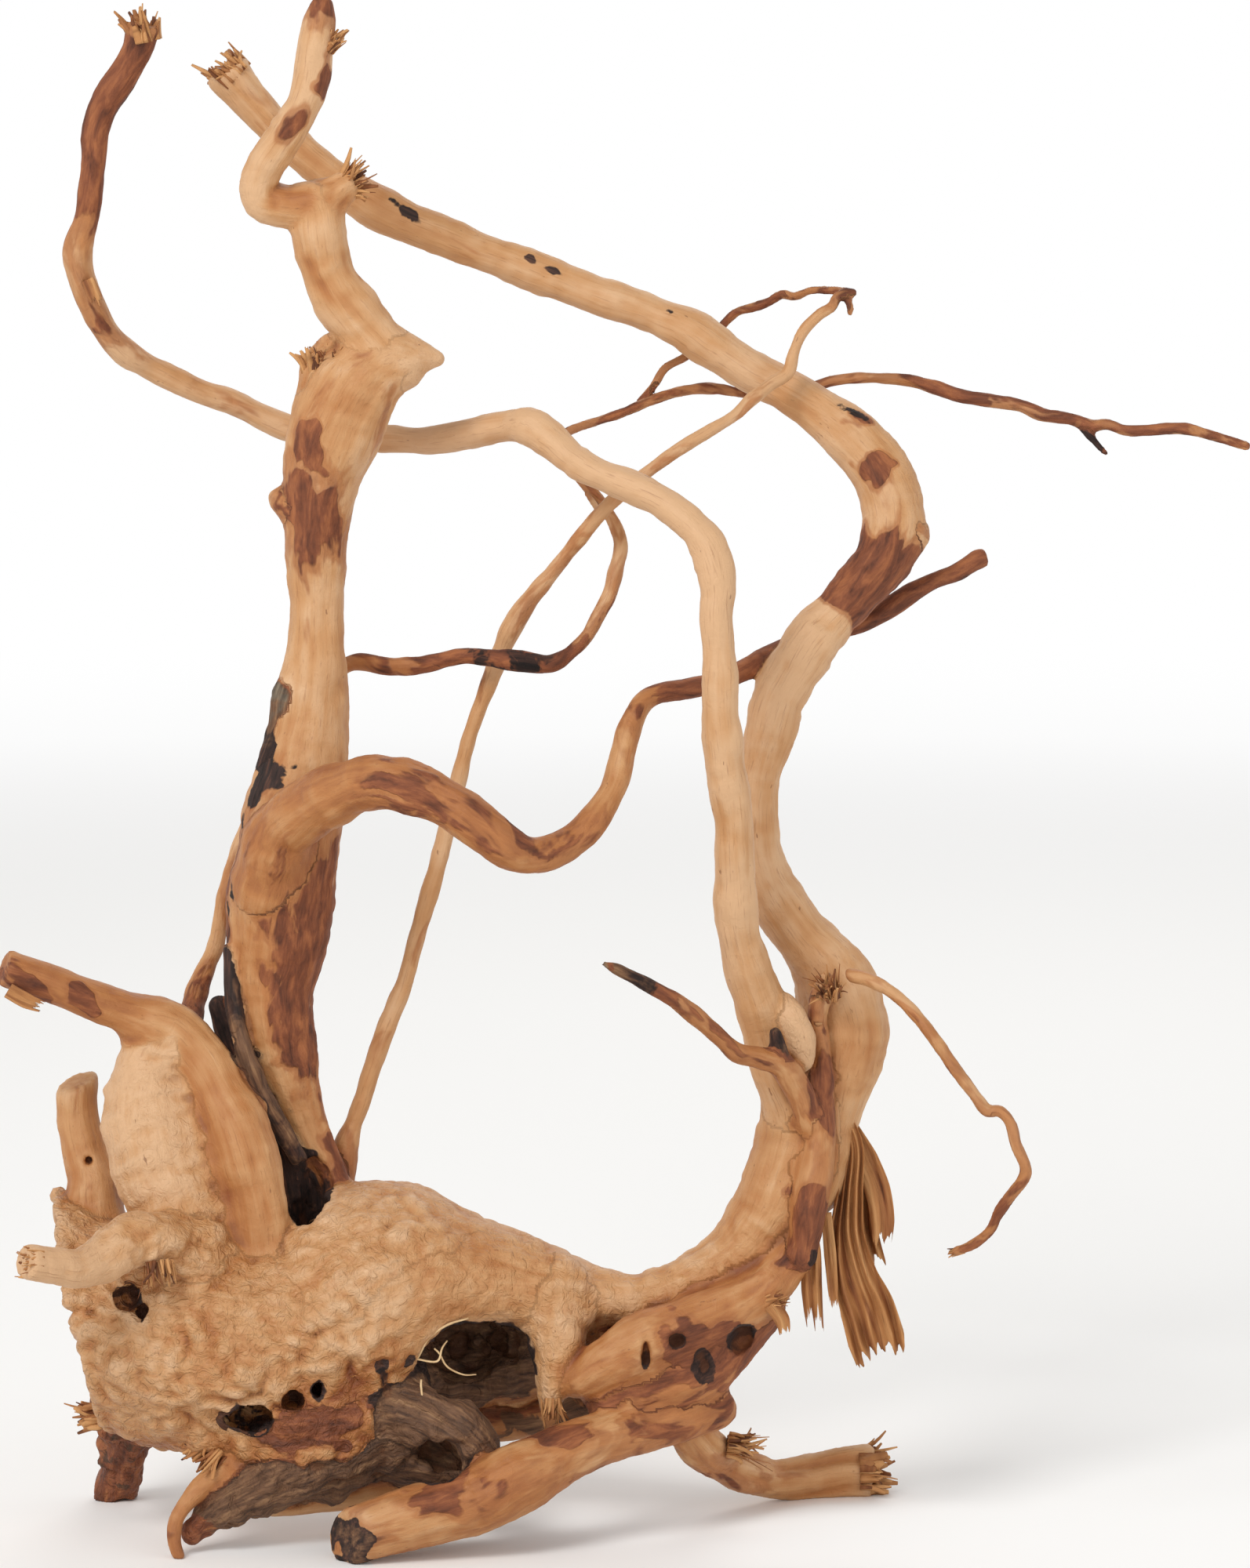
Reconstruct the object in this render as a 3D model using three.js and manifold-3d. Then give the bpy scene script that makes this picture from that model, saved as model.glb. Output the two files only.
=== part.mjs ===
// Driftwood: the peeled root stump of a shrub with its crooked limbs, grown as one piece.
// Millimetres, +Z up, +X to the right and +Y away from the front. It stands on four root ends.

import * as THREE from "three";
import { mergeVertices } from "three/addons/utils/BufferGeometryUtils.js";
import Module from "manifold-3d";

// The front view that the limbs are set out in: 600 mm high, seen from a little above.
const VIEW_HEIGHT = 600;
const EYE_DISTANCE = 2400;
const EYE_TILT = THREE.MathUtils.degToRad(6);
const AIM_HEIGHT = 291.2;

// The root's own middle, which is moved onto the origin.
const MIDDLE_X = 0.3;
const MIDDLE_Y = -2.9;

// Facets: a step along a limb is a share of its radius there, between these lengths, and the lump sizes.
const STEP_SHARE = 1.7;
const STEP_LEAST = 12;
const STEP_MOST = 17;
const STEP_SAMPLES = 240;
const LIMB_LUMP = 0.07;
const BURL_LUMP = 2.6;
const BURL_WAVE = 0.19;

const WOOD_COLOUR = 0xcc9a63;
const WOOD_ROUGHNESS = 0.72;

// Routes hold [across, up, depth, radius] as seen from the front; depth grows away from the viewer.
const LONG_LIMB = [
  [66, 176, 4, 12], [58, 194, 0, 11], [53, 211, -4, 9.5], [46.5, 231, -10, 8.8], [42.8, 246, -16, 8.2],
  [42, 266, -22, 8.1], [41.3, 288, -28, 8.1], [38.8, 306, -33, 7.5], [36.6, 326, -37, 7.2],
  [35.8, 345, -39, 6.7], [35, 364, -40, 6.5], [35, 378, -38, 7.3], [31, 392, -34, 7.1], [22, 402, -29, 6.7],
  [10, 410.3, -22, 6.3], [-10, 418.5, -12, 6.1], [-21, 425, -5, 6.2], [-29, 432, 1, 7.2], [-37, 436.8, 6, 7.6],
  [-48, 436.3, 14, 6.6], [-60, 434, 24, 5.6], [-74, 431.3, 34, 5.4], [-90, 432, 43, 5.2],
  [-112, 433.5, 50, 5.2], [-130, 436.7, 52, 5.2], [-150, 446, 50, 5.1], [-162, 450, 47, 4.9],
  [-180, 458.5, 40, 4.9], [-191, 465, 33, 5], [-199, 474, 27, 4.9], [-206, 488, 20, 5.2], [-209.5, 503, 14, 5.9],
  [-205.5, 519, 10, 4.7], [-203.2, 538, 7, 5], [-202.5, 551, 6, 5.4], [-198, 562, 4, 5.6], [-190.5, 573, 1, 5.8],
  [-186, 582, -1, 6.1], [-184.5, 591, -3, 6.6],
];
const ARCH_LIMB = [
  [70, 150, 10, 14], [77, 168, 13, 11], [82, 184, 16, 12], [85, 205, 19, 16.5], [82, 219, 20, 16.5],
  [76, 232, 19, 13.5], [66, 244, 17, 12], [56.5, 258, 14, 10.2], [51, 272, 12, 9], [50, 286, 11, 8.4],
  [51, 300, 12, 8.3], [54, 314, 13, 9], [58.5, 331, 16, 10], [64.5, 343, 19, 10.2], [72, 355, 22, 11],
  [81.5, 365.5, 25, 9.6], [90.5, 376, 29, 9.6], [99, 387, 32, 11.2], [102.6, 400, 36, 11.7], [101, 411, 39, 12.2],
  [96, 422, 42, 12], [88, 431.5, 45, 10], [80, 438.5, 47, 9.2], [70, 445.5, 49, 8.8], [58, 452.7, 51, 8.3],
  [46, 459.5, 53, 8.3], [34, 467.5, 55, 8.8], [22, 475, 56, 8.2], [8, 480.5, 57, 8], [-10, 486.7, 57, 8],
  [-28, 493.5, 56, 8], [-48, 501, 54, 7.5], [-70, 509.6, 52, 7.6], [-90, 518, 49, 8.1], [-106, 527.5, 47, 7.6],
  [-120, 538.5, 45, 7.4], [-131, 548.5, 43, 7.2], [-141, 559.5, 41, 7.3], [-149, 569, 40, 8],
  [-152.5, 574, 39, 8.6],
];
const ARCH_KNOB = [[100, 398, 35, 9], [108, 396, 35, 7.5], [113, 395, 35, 3]];
const TRUNK = [
  [-112, 140, 16, 10], [-118, 160, 16, 8], [-123, 172, 15, 8.5], [-128, 186, 14, 11], [-133, 202, 13, 14.5],
  [-135, 218, 12, 17.5], [-133.5, 236, 11, 18.8], [-132, 254, 10, 20], [-129, 270, 8, 19.5], [-128, 285, 7, 19],
  [-123, 303, 7, 17.5], [-121, 318, 7, 15.5], [-119, 334, 7, 12.5], [-118.2, 352, 7, 11], [-118, 370, 6, 10.8],
  [-118, 386, 5, 12], [-117.5, 400, 4, 13.2], [-116, 414, 3, 14.8], [-113.5, 428, 2, 16], [-108, 442, 0, 17],
  [-101, 454, -2, 17], [-92, 462, -3, 12], [-80, 463.5, -4, 6.5], [-72.5, 463, -4, 3.5],
];
const TRUNK_SHOULDER = [[-110, 432, 2, 13], [-112, 445, 2, 14], [-114, 458, 2, 10.5], [-113, 466, 2, 6]];
const TRUNK_KNOB = [[-122, 404, 4, 9], [-130, 408, 4, 6], [-134, 410, 4, 2.5]];
const TRUNK_SCAR = [[-122, 343, 6, 7], [-128, 332, 4, 7.5], [-129, 322, 4, 7], [-132, 312, 4, 8], [-136, 302, 5, 5]];
const UPPER_TRUNK = [
  [-86, 460, -3, 9], [-98, 473, -4, 11], [-105, 481.5, -5, 11], [-111.5, 491, -6, 10.4], [-115.3, 501, -7, 10.2],
  [-117, 512, -8, 10], [-119, 521, -8, 9.5], [-129, 521.5, -9, 8], [-138.5, 523.5, -10, 7.6], [-140, 530, -12, 7.3],
  [-136.5, 538, -14, 7.8], [-129, 549, -17, 7.3], [-123, 560, -20, 6.9], [-119.8, 571, -22, 6.8],
  [-118.5, 582, -24, 6.9], [-117, 591, -25, 6.7], [-116, 597, -25, 4.8],
];
const UPPER_STUB = [[-120, 519, -8, 8.5], [-114, 524, -8, 8], [-108, 528.5, -8, 6.5], [-104, 530.5, -7, 5]];
const CROOKED_ARM = [
  [-137, 262, -2, 13], [-132, 280, -12, 13], [-122, 289.5, -24, 11.8], [-109, 297, -37, 11.3],
  [-95, 300.7, -48, 10.7], [-80, 298.3, -56, 10.2], [-66, 291.5, -60, 9.5], [-53, 282, -61, 8.6],
  [-43, 275, -59, 7.6], [-34, 272.8, -55, 7.2], [-24, 276, -50, 6.5], [-15, 282.5, -45, 6.3], [-8.5, 291.5, -40, 6],
  [-3.5, 301, -34, 5.2], [-0.8, 312, -28, 4.6], [2, 322, -22, 4.6], [6.5, 331, -16, 4.3], [13, 334.7, -10, 3.9],
  [24, 336.5, -2, 3.9], [36, 339.5, 10, 4], [46, 344, 20, 4], [56, 350, 30, 4], [72, 356, 38, 3.6],
  [90, 361, 43, 3.3], [100, 366.5, 45, 3.9], [110, 373.3, 47, 4], [119, 378, 48, 3.5], [127, 381, 50, 4],
  [134, 385.5, 52, 4], [138.5, 387, 53, 3.4],
];
const TALL_STEM = [
  [-110, 148, 26, 7], [-107.5, 160, 28, 5], [-104, 170, 29, 3.7], [-100.3, 180, 30, 3.4], [-97, 191, 30, 3.8],
  [-91, 208, 30, 3.6], [-84.5, 223.5, 30, 3.3], [-80, 240, 29, 3.1], [-75, 257, 28, 3.6], [-70.5, 273, 27, 3.7],
  [-65, 296, 27, 3], [-59.5, 318, 27, 2.9], [-52.5, 337, 27, 3.3], [-45.5, 355.5, 27, 3.9], [-38, 368.5, 25, 3.8],
  [-28.6, 380, 22, 3.1], [-19, 392, 19, 2.9], [-9, 404, 16, 2.8], [2, 414, 12, 2.6], [12, 422, 11, 2.4],
  [22, 429, 13, 2.7], [33, 435.5, 16, 2.5], [42, 441, 20, 2.5], [49, 447.5, 25, 2.8], [56, 453, 30, 2.7],
  [62.5, 457.5, 33, 2.6], [64.5, 465, 33, 2.4], [68, 473, 33, 2.4], [74, 479.3, 34, 2.3], [79, 482.5, 36, 2.3],
  [81.5, 486.5, 38, 2.1], [87, 488, 40, 1.9],
];
const STEM_HOOK = [[84.5, 487.5, 40, 1.9], [86, 483, 38, 1.6], [86, 480.5, 37, 1.3]];
const LOOP_TWIG = [
  [84, 488.5, 41, 1.8], [78, 489, 48, 1.6], [71, 488.8, 54, 1.7], [65, 486.5, 60, 1.7], [60, 487.3, 64, 1.8],
  [55, 484.5, 68, 1.8], [49, 482.3, 71, 1.9], [42, 480, 74, 1.9], [34, 472, 76, 1.7], [24, 464, 77, 1.6],
  [15.5, 459.2, 76, 1.8], [11.5, 453, 75, 1.7], [6, 446.3, 73, 1.9],
];
const LONG_TWIG = [
  [-168, 204, 4, 6], [-166, 212, 18, 5], [-163.5, 221, 27, 4.4], [-160, 230, 32, 3.7], [-156, 240, 36, 3.1], [-153.5, 255, 39, 3],
  [-149.5, 270, 41, 3], [-144, 285, 42, 3], [-136, 303, 42, 3.1], [-127, 322, 40, 3.2], [-117, 338, 37, 3.3],
  [-104, 346.5, 32, 3.4], [-90, 345, 26, 3.6], [-77, 345.6, 20, 3.6], [-62, 349, 15, 3.5], [-50, 348, 12, 3.6],
  [-40, 347, 11, 4.2], [-29, 346, 12, 3.5], [-22, 349.5, 14, 2.9], [-15, 356, 16, 2.6], [-10.5, 364, 18, 2.7],
  [-6, 372.5, 20, 2.8], [-3.8, 381, 23, 2.8], [-1.5, 391, 28, 2.7], [-4, 399.5, 32, 2.5], [-9, 407.5, 36, 2.4],
  [-17, 417, 41, 2.3], [-25, 427, 46, 2.1], [-23, 434, 51, 1.9], [-10, 439, 59, 1.9], [0, 442.3, 65, 1.9],
  [10, 446.7, 70, 2.3], [22, 450.4, 75, 2.1], [34, 451.3, 78, 2], [50, 449, 80, 1.8], [68, 451, 79, 2],
  [80, 454.3, 78, 2.1], [92, 455.4, 76, 2.3], [108, 454.4, 72, 2.5], [118, 451.8, 69, 2.7], [130, 448.2, 66, 2.7],
  [150, 445, 60, 2.8], [160, 441.2, 57, 2.8], [170, 439.8, 54, 2.6], [178, 437, 52, 2.6], [184.5, 437.6, 50, 2.3],
  [191, 435.4, 48, 2.2], [200, 435.3, 46, 2.2], [208, 436, 44, 2.4], [216, 435.6, 42, 2.2], [228, 432.3, 39, 2.1],
  [237.5, 429.3, 36, 2.2],
];
const TWIG_SPUR = [[176, 435.5, 52, 2], [181, 429.5, 50, 1.5], [184, 426.5, 49, 1.2]];
const TWIG_THORN = [[-9, 403.5, 34, 1.6], [-12, 407.5, 33, 1.3], [-15, 411.5, 32, 0.8]];
const DROOPING_TWIG = [
  [74, 220, 0, 3.6], [81, 226, -3, 2.8], [89, 226.2, -8, 2.7], [96, 223.8, -12, 2.6], [103, 219.5, -16, 2.6],
  [110, 213, -20, 2.5], [118, 203, -25, 2.5], [127, 190, -30, 2.5], [134.5, 180, -33, 2.4], [138.5, 175, -34, 2.6],
  [143.5, 174.7, -35, 2.4], [147.5, 170, -36, 2.5], [149.5, 162, -37, 2.4], [153, 154, -37, 2.3],
  [152.5, 149, -36, 2.3], [147.5, 142.5, -34, 2.1], [143, 136, -31, 2.1], [139.5, 129, -28, 2],
  [133, 123.7, -25, 1.9], [125, 120.7, -22, 1.6],
];
const SNAG_TWIG = [
  [70, 172, -8, 5], [66, 183, -13, 5.5], [60, 192, -19, 5], [51, 195.2, -26, 4.5], [43, 197, -32, 3.9],
  [36, 203.3, -38, 3.5], [28, 210.3, -44, 3.3], [20, 216.7, -50, 3.3], [12, 221.3, -55, 3.1], [4, 225.6, -60, 2.9],
  [-3, 229, -64, 2.4], [-8, 231.2, -67, 1],
];
const SNAG_SPUR = [[60.5, 192, -18, 4], [58.5, 200, -23, 3.2], [57.5, 204.5, -25, 2.5]];
const CLIMBING_ROOT = [
  [68, 120, -12, 5.5], [71, 140, -11, 6.5], [74, 158, -8, 6.5], [75, 178, -4, 5], [75, 195, -1, 4],
  [73.5, 209, 0, 3.8], [75, 219, 0, 3.9], [77, 225, -1, 3],
];
const CALLUS = [[61, 216, -6, 4], [64, 210, -9, 5.5], [67, 203, -10, 5.5], [67.5, 194, -8, 4]];
const LEFT_ARM = [
  [-238, 229.5, -22, 7.8], [-222, 224.6, -17, 6.8], [-209, 219.3, -12, 7], [-197, 215, -7, 7.9], [-185, 211, -3, 8.8],
  [-172, 206.5, -1, 9.6], [-162, 196, -3, 9.8], [-155, 183, -7, 10.2], [-149, 170, -11, 12], [-144.5, 156, -14, 13],
  [-141, 142, -14, 11.8], [-139, 128, -12, 11.5], [-137, 100, -6, 16],
];
const PALE_NECK = [
  [-176, 203, 0, 9], [-181, 192, 1, 14], [-182, 180, 0, 18], [-180, 168, -3, 19.3], [-176.5, 154, -7, 18.5],
  [-171, 140, -10, 18], [-165, 118, -10, 20],
];
const SAWN_PEG = [
  [-209.5, 187, 22, 8.2], [-209, 172, 20, 8.3], [-206.5, 160, 18, 8.8], [-203.5, 149, 15, 10], [-203, 138, 12, 12],
  [-200, 118, 8, 14],
];
const FRONT_PEG = [
  [-229.5, 117, -82, 7], [-218, 115.3, -74, 7.2], [-209, 114.5, -66, 7.8], [-200.5, 118, -57, 9.4],
  [-191, 124, -48, 10.6], [-181, 125.5, -39, 11], [-166, 122, -28, 13],
];
const SLOT_WALL = [
  [-155, 215, 15, 4], [-148, 199, 16, 7], [-140, 181, 18, 10], [-131, 162, 20, 12], [-126, 142, 20, 14],
  [-124, 100, 10, 18],
];
const STUMP = [
  [-230, 108, 12, 37], [-205, 98, 5, 38.5], [-180, 91, -1, 41], [-155, 88, -4, 42], [-131, 86, -5, 37],
  [-104, 88, -4, 28],
];
const BRIDGE = [
  [-119, 98, -3, 31], [-103, 108, -1, 37], [-88, 115.5, 1, 32], [-72, 117, 4, 22], [-55, 114, 5, 17],
  [-40, 111.5, 5, 14], [-22, 107, 4, 12], [-5, 104, 3, 10.2], [8, 104, 3, 10.2], [20, 107, 3, 11],
  [32, 113, 4, 12.5], [44, 121, 5, 14.2], [53, 131, 6, 15.2], [59, 141, 7, 15.8], [63, 152, 8, 16.2],
  [66, 164, 9, 16.5], [67.5, 176, 10, 15], [68, 186, 10, 12],
];
const UNDER_BURL = [[-192, 72, 2, 19], [-150, 60, -12, 22], [-120, 58, -16, 21], [-93, 62, -8, 20]];
const RAGGED_ROOT = [
  [-92, 52, -12, 18], [-115, 42, -18, 15], [-135, 33, -25, 12], [-152, 24, -31, 9], [-166, 14, -36, 4.5],
];
const TAN_ROOT = [[-78, 36, -2, 8], [-95, 31, -5, 7], [-115, 27, -10, 6], [-134, 24, -18, 5]];
const TOE_ROOT = [
  [-150, 38, -26, 7], [-158, 34, -32, 5], [-166, 27, -38, 3.6], [-171.5, 19, -42, 2.9], [-172.5, 11, -44.5, 2.7],
  [-170.5, 3.4, -46, 2.4],
];
const BACK_FOOT = [[-184, 80, 20, 20], [-189, 62, 38, 14], [-192, 46, 50, 8.6], [-193.5, 36, 56, 7.8], [-194.5, 26, 60, 8]];
const HOLLOW_LEG = [[-26, 104, -4, 12.5], [-26, 90, -9, 10.4], [-26, 80, -12, 9.3], [-27.5, 70, -14, 7], [-30, 61, -15, 3]];
const HOLLOW_BACK = [[-98, 84, 22, 24], [-74, 82, 28, 22], [-52, 82, 30, 20], [-30, 84, 24, 17], [-10, 88, 14, 14]];
const BACK_ROOT = [[-80, 60, 26, 10], [-60, 57, 30, 8], [-38, 57, 28, 6.5], [-15, 64, 20, 9], [8, 72, 6, 12]];
const CURLED_EAR = [
  [-96, 62, -12, 15], [-82, 60, -20, 14], [-68, 53, -24, 14], [-59, 46, -24, 10.5], [-56, 40, -24, 6],
];
const EAR_ROOT = [[-92, 50, -8, 17], [-80, 45, -12, 13], [-68, 41, -15, 10], [-56, 40, -16, 6]];
const SADDLE_RIDGE = [
  [63, 118, -6, 8], [54, 108, -9, 9.5], [43, 101, -11, 10.5], [25, 93, -14, 12], [8, 86, -17, 12], [-6, 79, -19, 10], [-16, 72, -19, 7],
];
const SADDLE_BODY = [[50, 100, 0, 10.5], [42, 90, -2, 11.5], [33, 80, -5, 12.5], [22, 74, -7, 14], [8, 70, -10, 13], [-6, 66, -13, 10]];
const FRONT_LEG = [
  [34, 62, -2, 9], [20, 57, -8, 9], [0, 52.5, -18, 9.8], [-20, 45.5, -29, 11], [-40, 35, -38, 12.8],
  [-55, 26.5, -43, 12.8], [-70, 22.5, -46, 12], [-85, 18, -49, 11.6], [-107, 11.4, -52.5, 11.2],
];
const FRAYED_ROOT = [
  [22, 56, 2, 9], [30, 46, 14, 8.5], [40, 40, 32, 8.8], [55, 34.5, 50, 8], [70, 34.5, 60, 8.4], [84, 37, 64, 10],
  [94, 37, 66, 10.5],
];

// Torn strips of bark and wood: [across, up, depth, half width] and how many strands each is split into.
const TORN_STRIPS = [
  { strands: 4, route: [
    [80, 172, 12, 4], [87, 158, 8, 4], [84, 140, 6, 5], [83, 125, 4, 6], [86, 112, 2, 8], [92, 100, 0, 10],
    [96, 88, -2, 10], [99, 78, -3, 9] ] },
  { strands: 1, route: [[84, 168, 13, 3], [91, 155, 12, 3.5], [96, 143, 10, 3.5], [98, 130, 8, 3.2], [97, 121, 7, 2.6]] },
  { strands: 2, route: [[68, 134, -10, 3], [71, 120, -9, 3.5], [72, 105, -8, 3.5], [73, 88, -8, 3.5]] },
];
const STRAND_OVERLAP = 1.5;
const STRAND_RAGGED = 0.16;
const STRAND_STEP = 1.5;
const STRAND_FLATNESS = 0.8;

// Frayed ends: splinters round a tip, pointing along its heading and flaring outwards.
const FRAYED_ENDS = [
  { tip: [-184.5, 589, -3], heading: [-0.2, 1, -0.1], spread: 5.2, count: 6, length: 9, thick: 1.7 },
  { tip: [-152.5, 573, 39], heading: [-0.75, 0.65, 0], spread: 6.6, count: 6, length: 7, thick: 1.8 },
  { tip: [-105, 530, -7], heading: [0.85, 0.5, 0.1], spread: 4.2, count: 5, length: 8, thick: 1.3 },
  { tip: [-111, 584, -25], heading: [0.5, 0.85, 0], spread: 2.2, count: 3, length: 7, thick: 1.1 },
  { tip: [93, 37.5, 66], heading: [1, 0.02, 0.05], spread: 8.6, count: 7, length: 10, thick: 2 },
  { tip: [76, 224, -3], heading: [-0.1, 1, -0.5], spread: 3, count: 3, length: 7, thick: 1.1 },
  { tip: [-207, 57, -8], heading: [-1, -0.2, -0.1], spread: 4, count: 3, length: 7, thick: 1.8 },
  { tip: [-120, 462, 0], heading: [-0.2, 1, -0.1], spread: 4, count: 3, length: 8, thick: 1.3 },
  { tip: [-164, 42, -26], heading: [-0.7, -0.5, -0.3], spread: 6, count: 3, length: 8, thick: 1.8 },
];
const SPLINTER_SUNK = 6;
const SPLINTER_FLARE = 0.55;
const SPLINTER_POINT = 0.35;
const SPLINTER_SHORTEST = 0.55;
const GOLDEN_ANGLE = 2.4;

// Hollows eaten into the wood: [across, up, depth] and half sizes across, up and in depth.
const HOLLOWS = [
  { centre: [-58, 81, 0], half: [21, 15, 22] },
  { centre: [-145, 59, -33], half: [8.5, 7, 14] },
  { centre: [-117, 70, -34], half: [3.4, 6.5, 12] },
  { centre: [-190, 103.5, -37], half: [4.6, 4, 10] },
  { centre: [-72, 41, -34], half: [11, 8.5, 17] },
  { centre: [20, 86.5, -27], half: [3.6, 3.6, 8] },
  { centre: [30, 76, -24], half: [4, 6.5, 9] },
  { centre: [45, 88, -17], half: [4.5, 6, 9] },
  { centre: [-127, 139, -4], half: [7, 19, 13] },
];
const HOLLOW_SIDES = 8;

// The saw cut on the stump's left: it runs through these two points of the front view.
const CUT_LOW = [-203.5, 76];
const CUT_HIGH = [-220, 145];
const CUT_SIZE = 300;
const SEED = 20;

const wasm = await Module();
wasm.setup();

// Gives numbers from 0 to 1 in a fixed order.
function seededRandom(seed) {
  let state = seed;
  return () => {
    state = (state * 16807) % 2147483647;
    return state / 2147483647;
  };
}

const random = seededRandom(SEED);

// Finds the point at a given depth that shows at (across, up) in the front view, on the sight line from
// the eye through the picture plane, and how much larger than seen a thing is there.
function place(across, up, depth) {
  const rise = up - VIEW_HEIGHT / 2;
  const eye = new THREE.Vector3(
    0, -EYE_DISTANCE * Math.cos(EYE_TILT), AIM_HEIGHT + EYE_DISTANCE * Math.sin(EYE_TILT));
  const seen = new THREE.Vector3(across, rise * Math.sin(EYE_TILT), AIM_HEIGHT + rise * Math.cos(EYE_TILT));
  const reach = (depth - eye.y) / (seen.y - eye.y);
  const point = seen.sub(eye).multiplyScalar(reach).add(eye);
  return { point, reach };
}

// Turns a closed geometry into a solid that can be joined and cut.
function solidOf(geometry) {
  const bare = geometry.clone();
  bare.deleteAttribute("normal");
  bare.deleteAttribute("uv");
  const merged = mergeVertices(bare);
  return new wasm.Manifold(new wasm.Mesh({
    numProp: 3,
    vertProperties: new Float32Array(merged.attributes.position.array),
    triVerts: new Uint32Array(merged.index.array),
  }));
}

// Picks the number of sides that a limb of this radius needs.
function sidesFor(radius) {
  if (radius < 4.2) return 5;
  if (radius < 9) return 6;
  return radius < 14 ? 8 : 10;
}

// The burl's bumps: three crossed waves in space, from -1 to 1.
function burlWave(point) {
  const a = Math.sin(BURL_WAVE * (point.x + 0.6 * point.z));
  const b = Math.sin(BURL_WAVE * 1.3 * (point.z - 0.5 * point.y) + 1.7);
  const c = Math.sin(BURL_WAVE * 0.8 * (point.y + 0.7 * point.x) + 0.4);
  return (a * b + b * c + c * a) / 2;
}

// Spaces rings along a curve so that each step suits the radius there; gives their curve parameters.
function ringPlaces(curve, radiusAt, finer) {
  const steps = [0];
  for (let sample = 1; sample <= STEP_SAMPLES; sample++) {
    const along = sample / STEP_SAMPLES;
    const length = curve.getPoint(along).distanceTo(curve.getPoint((sample - 1) / STEP_SAMPLES));
    const step = THREE.MathUtils.clamp(STEP_SHARE * radiusAt(along), STEP_LEAST, STEP_MOST);
    steps.push(steps.at(-1) + (finer * length) / step);
  }
  const rings = Math.max(2, Math.round(steps.at(-1)));
  return Array.from({ length: rings + 1 }, (_, ring) => {
    const wanted = (ring / rings) * steps.at(-1);
    const after = Math.max(1, steps.findIndex((sum) => sum >= wanted - 1e-9));
    const share = (wanted - steps[after - 1]) / (steps[after] - steps[after - 1]);
    return (after - 1 + share) / STEP_SAMPLES;
  });
}

// Carries an oval section along a smooth curve through the route. The section's width is what the front
// view shows and its depth is that times `through`; it swells and turns slowly, as grown wood does. The
// facets stand a little out, so that the section keeps its true area.
function limb(route, { through = 1, sides = 0, bump = 0, finer = 1 } = {}) {
  const placed = route.map(([across, up, depth]) => place(across, up, depth));
  const radii = route.map(([, , , radius], i) => radius * placed[i].reach);
  const curve = new THREE.CatmullRomCurve3(placed.map(({ point }) => point), false, "catmullrom", 0.5);
  const meanRadius = radii.reduce((sum, radius) => sum + radius, 0) / radii.length;
  const count = sides || sidesFor(meanRadius);
  const radiusAt = (along) => {
    const position = along * (radii.length - 1);
    const before = Math.min(Math.floor(position), radii.length - 2);
    return THREE.MathUtils.lerp(radii[before], radii[before + 1], position - before);
  };
  const places = ringPlaces(curve, radiusAt, finer);
  const rings = places.length - 1;
  const depthAxis = new THREE.Vector3(0, 1, 0);
  const facet = (2 * Math.PI) / count;
  const fullness = Math.sqrt(facet / Math.sin(facet));
  const positions = [];
  for (let ring = 0; ring <= rings; ring++) {
    const centre = curve.getPoint(places[ring]);
    const tangent = curve.getTangent(places[ring]);
    const wide = new THREE.Vector3().crossVectors(tangent, depthAxis).normalize();
    const deep = new THREE.Vector3().crossVectors(wide, tangent).normalize();
    const radius = radiusAt(places[ring]);
    for (let side = 0; side < count; side++) {
      const angle = facet * side;
      const swell = 1 + LIMB_LUMP * Math.sin(2 * angle + 0.9 * ring) * Math.sin(0.7 * ring);
      const out = new THREE.Vector3()
        .addScaledVector(wide, Math.cos(angle))
        .addScaledVector(deep, through * Math.sin(angle));
      const vertex = centre.clone().addScaledVector(out, fullness * radius * swell);
      vertex.addScaledVector(out, bump * burlWave(vertex));
      positions.push(vertex.x, vertex.y, vertex.z);
    }
  }
  const first = curve.getPoint(0);
  const last = curve.getPoint(1);
  positions.push(first.x, first.y, first.z, last.x, last.y, last.z);
  const startCentre = (rings + 1) * count;
  const triangles = [];
  for (let side = 0; side < count; side++) {
    const next = (side + 1) % count;
    for (let ring = 0; ring < rings; ring++) {
      const low = ring * count;
      const high = low + count;
      triangles.push(low + side, high + next, low + next, low + side, high + side, high + next);
    }
    const top = rings * count;
    triangles.push(startCentre, side, next, startCentre + 1, top + next, top + side);
  }
  const geometry = new THREE.BufferGeometry();
  geometry.setAttribute("position", new THREE.Float32BufferAttribute(positions, 3));
  geometry.setIndex(triangles);
  return solidOf(geometry);
}

// Splits a torn strip into strands that lie side by side and end at different lengths.
function tornStrip({ strands, route }) {
  const pieces = [];
  for (let strand = 0; strand < strands; strand++) {
    const aside = strands > 1 ? (2 * strand) / (strands - 1) - 1 : 0;
    const keep = 1 - STRAND_RAGGED * random();
    const first = route[0];
    const strandRoute = route.map(([across, up, depth, half]) => [
      across + aside * half * (1 - 1 / strands),
      first[1] + (up - first[1]) * keep,
      depth + STRAND_STEP * Math.cos(Math.PI * strand),
      half * Math.min(1, STRAND_OVERLAP / strands),
    ]);
    pieces.push(limb(strandRoute, { through: STRAND_FLATNESS, sides: 4 }));
  }
  return pieces;
}

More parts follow.
